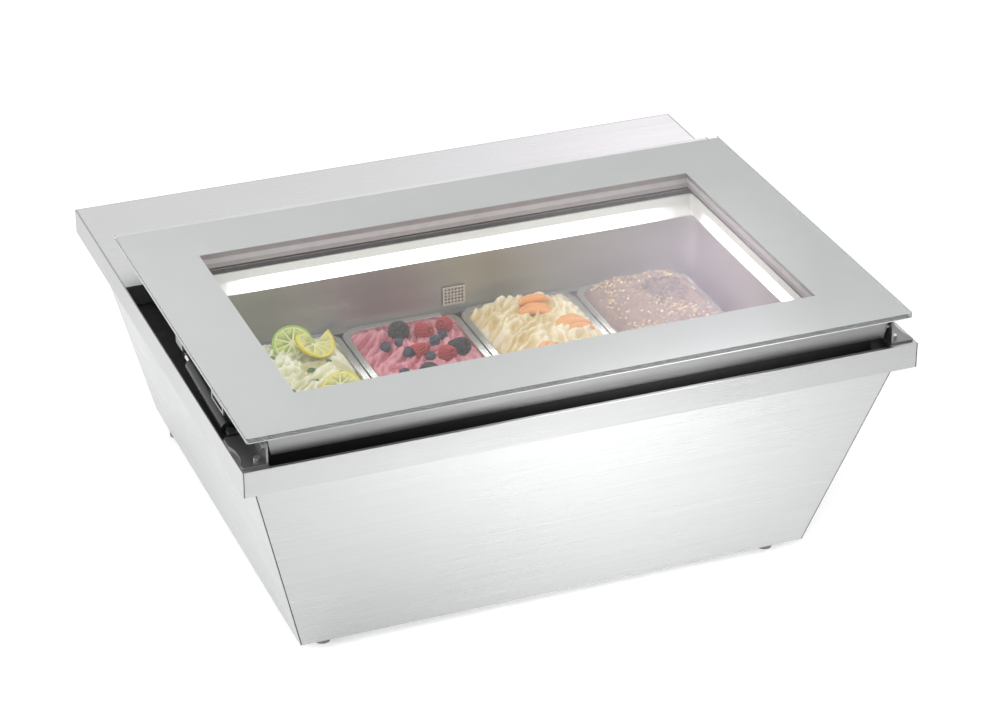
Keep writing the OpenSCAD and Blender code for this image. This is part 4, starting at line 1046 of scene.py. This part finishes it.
class FREEZER_OT_pans(bpy.types.Operator):
    """Dress the four pans"""
    bl_idname = "freezer.pans"
    bl_label = "Pans"

    def execute(self, context):
        for node in nodes_named("pan_"):
            if node != "pan_rails":
                dress(node)
                soften(node, 0.35 * MM)
        return {"FINISHED"}


# ---- Lid ----

class FREEZER_OT_lid(bpy.types.Operator):
    """Dress the two panes, the enamel border, the steel frame, the spacer and the gasket"""
    bl_idname = "freezer.lid"
    bl_label = "Lid"

    def execute(self, context):
        dress("lid_glass", "lower_pane", "lid_border", "lid_frame", "pane_spacer", "lid_gasket")
        soften("lid_glass", 0.7 * MM)
        soften("lid_frame")
        self.spacer_strip()
        return {"FINISHED"}

    def spacer_strip(self):
        """Pale sealing strip round the inside of the spacer, at half its height"""
        low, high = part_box("pane_spacer")
        wall, thick, corner = 9 * MM, 1.2 * MM, 1.5 * MM
        z_low, z_high = (low[2] + t * (high[2] - low[2]) for t in (0.30, 0.62))
        shape = Shape()
        loops = [rounded_loop(high[0] - wall - off, low[1] + wall + off, high[1] - wall - off, corner, z)
                 for off, z in ((0, z_low), (thick, z_low), (thick, z_high), (0, z_high))]
        shape.loft(loops)
        shape.piece("sealing_strip", [handled("sealing strip", (0.50, 0.48, 0.49), 0.45)], "lid", smooth=False)


class FREEZER_OT_hinges(bpy.types.Operator):
    """Dress the hinge brackets, bolts and pins, and the gas struts with their brackets"""
    bl_idname = "freezer.hinges"
    bl_label = "Hinges and struts"

    def execute(self, context):
        dress("hinge_brackets", "bracket_bolts", "hinge_pins", "strut_anchors", "lid_brackets")
        dress(*nodes_named("strut_tube", "strut_rod"))
        soften("hinge_brackets", 0.3 * MM)
        return {"FINISHED"}


# ---- Machine and controls ----

class FREEZER_OT_machine(bpy.types.Operator):
    """Dress the cooling machine"""
    bl_idname = "freezer.machine"
    bl_label = "Cooling machine"

    def execute(self, context):
        dress("compressor", "compressor_grommets", "condenser", "fan_shroud", "fan_motor", "fan_blades",
              "filter_drier", "refrigerant_lines", "led_driver")
        return {"FINISHED"}


class FREEZER_OT_controls(bpy.types.Operator):
    """Dress the controller, the switch, the power inlet and the screws"""
    bl_idname = "freezer.controls"
    bl_label = "Controls"

    def execute(self, context):
        dress("controller_case", "display_window", "set_key", "up_key", "down_key", "switch_housing",
              "switch_rocker", "power_inlet", "cabinet_screws")
        for node in ("controller_case", "set_key", "up_key", "down_key", "switch_housing", "power_inlet"):
            soften(node, 0.4 * MM)
        return {"FINISHED"}


# ---- Stage ----

class FREEZER_OT_stage(bpy.types.Operator):
    """Set up the floor, the soft studio light and the camera"""
    bl_idname = "freezer.stage"
    bl_label = "Stage"

    def execute(self, context):
        scene = context.scene
        settings = scene.freezer_stage
        scene.view_settings.view_transform = "Standard"
        self.floor(scene, settings)
        self.sky(scene, settings)
        self.lamp(scene, "overhead", settings.key_power, 2.6, (-0.6, -0.4, 2.9), (0, 0, 0.2))
        self.lamp(scene, "front floor light", settings.fill_power, 0.3, (0.12, -0.64, 0.42), (0.12, -0.60, 0))
        self.lamp(scene, "side floor light", settings.fill_power * 0.9, 0.5, (-1.10, 0.0, 0.60), (-0.55, 0.0, 0))
        camera = bpy.data.objects.new("camera", bpy.data.cameras.new("camera"))
        scene.collection.objects.link(camera)
        camera.location = (-1.3071, -3.3964, 2.1740)
        camera.rotation_euler = (math.radians(61.71), 0, math.radians(-21.48))
        camera.data.lens = 112.75
        camera.data.sensor_width = 36
        scene.camera = camera
        return {"FINISHED"}

    def floor(self, scene, settings):
        reach = 12
        mesh = bpy.data.meshes.new("floor")
        corners = [(-reach, -reach, 0), (reach, -reach, 0), (reach, reach, 0), (-reach, reach, 0)]
        mesh.from_pydata(corners, [], [(0, 1, 2, 3)])
        obj = bpy.data.objects.new("floor", mesh)
        scene.collection.objects.link(obj)
        material, shader = base_material("floor", {
            "Base Color": (*settings.floor, 1), "Roughness": 0.9, "Emission Color": (1, 1, 1, 1),
            "Emission Strength": settings.floor_glow})
        mesh.materials.append(material)

    def sky(self, scene, settings):
        world = bpy.data.worlds.new("studio")
        world.use_nodes = True
        tree = world.node_tree
        back = tree.nodes["Background"]
        split = tree.nodes.new("ShaderNodeSeparateXYZ")
        tree.links.new(tree.nodes.new("ShaderNodeTexCoord").outputs["Generated"], split.inputs[0])
        # A softbox that stands behind the object on the right
        near_side = remap(tree, split.outputs["X"], 0.325, 0.385, 0.0, 1.0)
        far_side = remap(tree, split.outputs["X"], 0.40, 0.42, 1.0, 0.0)
        lower = remap(tree, split.outputs["Z"], 0.42, 0.44, 0.0, 1.0)
        behind = remap(tree, split.outputs["Y"], 0.5, 0.6, 0.0, 1.0)
        box = math_node(tree, "MULTIPLY", math_node(tree, "MULTIPLY", near_side, far_side),
                        math_node(tree, "MULTIPLY", lower, behind))
        gain = math_node(tree, "MULTIPLY", box, settings.softbox)
        tree.links.new(math_node(tree, "ADD", gain, settings.sky), back.inputs["Strength"])
        tree.links.new(mix_colour(tree, box, (1.0, 1.0, 1.0), settings.softbox_colour), back.inputs["Color"])
        scene.world = world

    def lamp(self, scene, name, power, size, place, target):
        data = bpy.data.lights.new(name, "AREA")
        data.energy = power
        data.size = size
        obj = bpy.data.objects.new(name, data)
        scene.collection.objects.link(obj)
        obj.location = place
        obj.rotation_euler = (Vector(target) - Vector(place)).to_track_quat("-Z", "Y").to_euler()


OPERATORS = (
    FREEZER_OT_stage, FREEZER_OT_cabinet, FREEZER_OT_rear, FREEZER_OT_tank, FREEZER_OT_pans, FREEZER_OT_citrus,
    FREEZER_OT_berry, FREEZER_OT_vanilla, FREEZER_OT_chocolate, FREEZER_OT_lid, FREEZER_OT_hinges,
    FREEZER_OT_machine, FREEZER_OT_controls,
)


class FREEZER_PT_sidebar(bpy.types.Panel):
    """Lists the pieces that can be built"""
    bl_idname = "FREEZER_PT_sidebar"
    bl_label = "Display freezer"
    bl_space_type = "VIEW_3D"
    bl_region_type = "UI"
    bl_category = "Freezer"

    def draw(self, context):
        for settings in (context.scene.freezer_finish, context.scene.freezer_ice, context.scene.freezer_stage):
            box = self.layout.box()
            for name in settings.__annotations__:
                box.prop(settings, name)
        for operator in OPERATORS:
            self.layout.operator(operator.bl_idname)


SETTINGS = {
    "freezer_finish": FinishSettings,
    "freezer_ice": IceCreamSettings,
    "freezer_stage": StageSettings,
}


def register():
    for name, group in SETTINGS.items():
        bpy.utils.register_class(group)
        setattr(bpy.types.Scene, name, PointerProperty(type=group))
    for cls in (*OPERATORS, FREEZER_PT_sidebar):
        bpy.utils.register_class(cls)


def unregister():
    for cls in reversed((*OPERATORS, FREEZER_PT_sidebar)):
        bpy.utils.unregister_class(cls)
    for name, group in SETTINGS.items():
        delattr(bpy.types.Scene, name)
        bpy.utils.unregister_class(group)


def main():
    register()
    for operator in OPERATORS:
        family, name = operator.bl_idname.split(".")
        getattr(getattr(bpy.ops, family), name)()


if __name__ == "__main__":
    main()
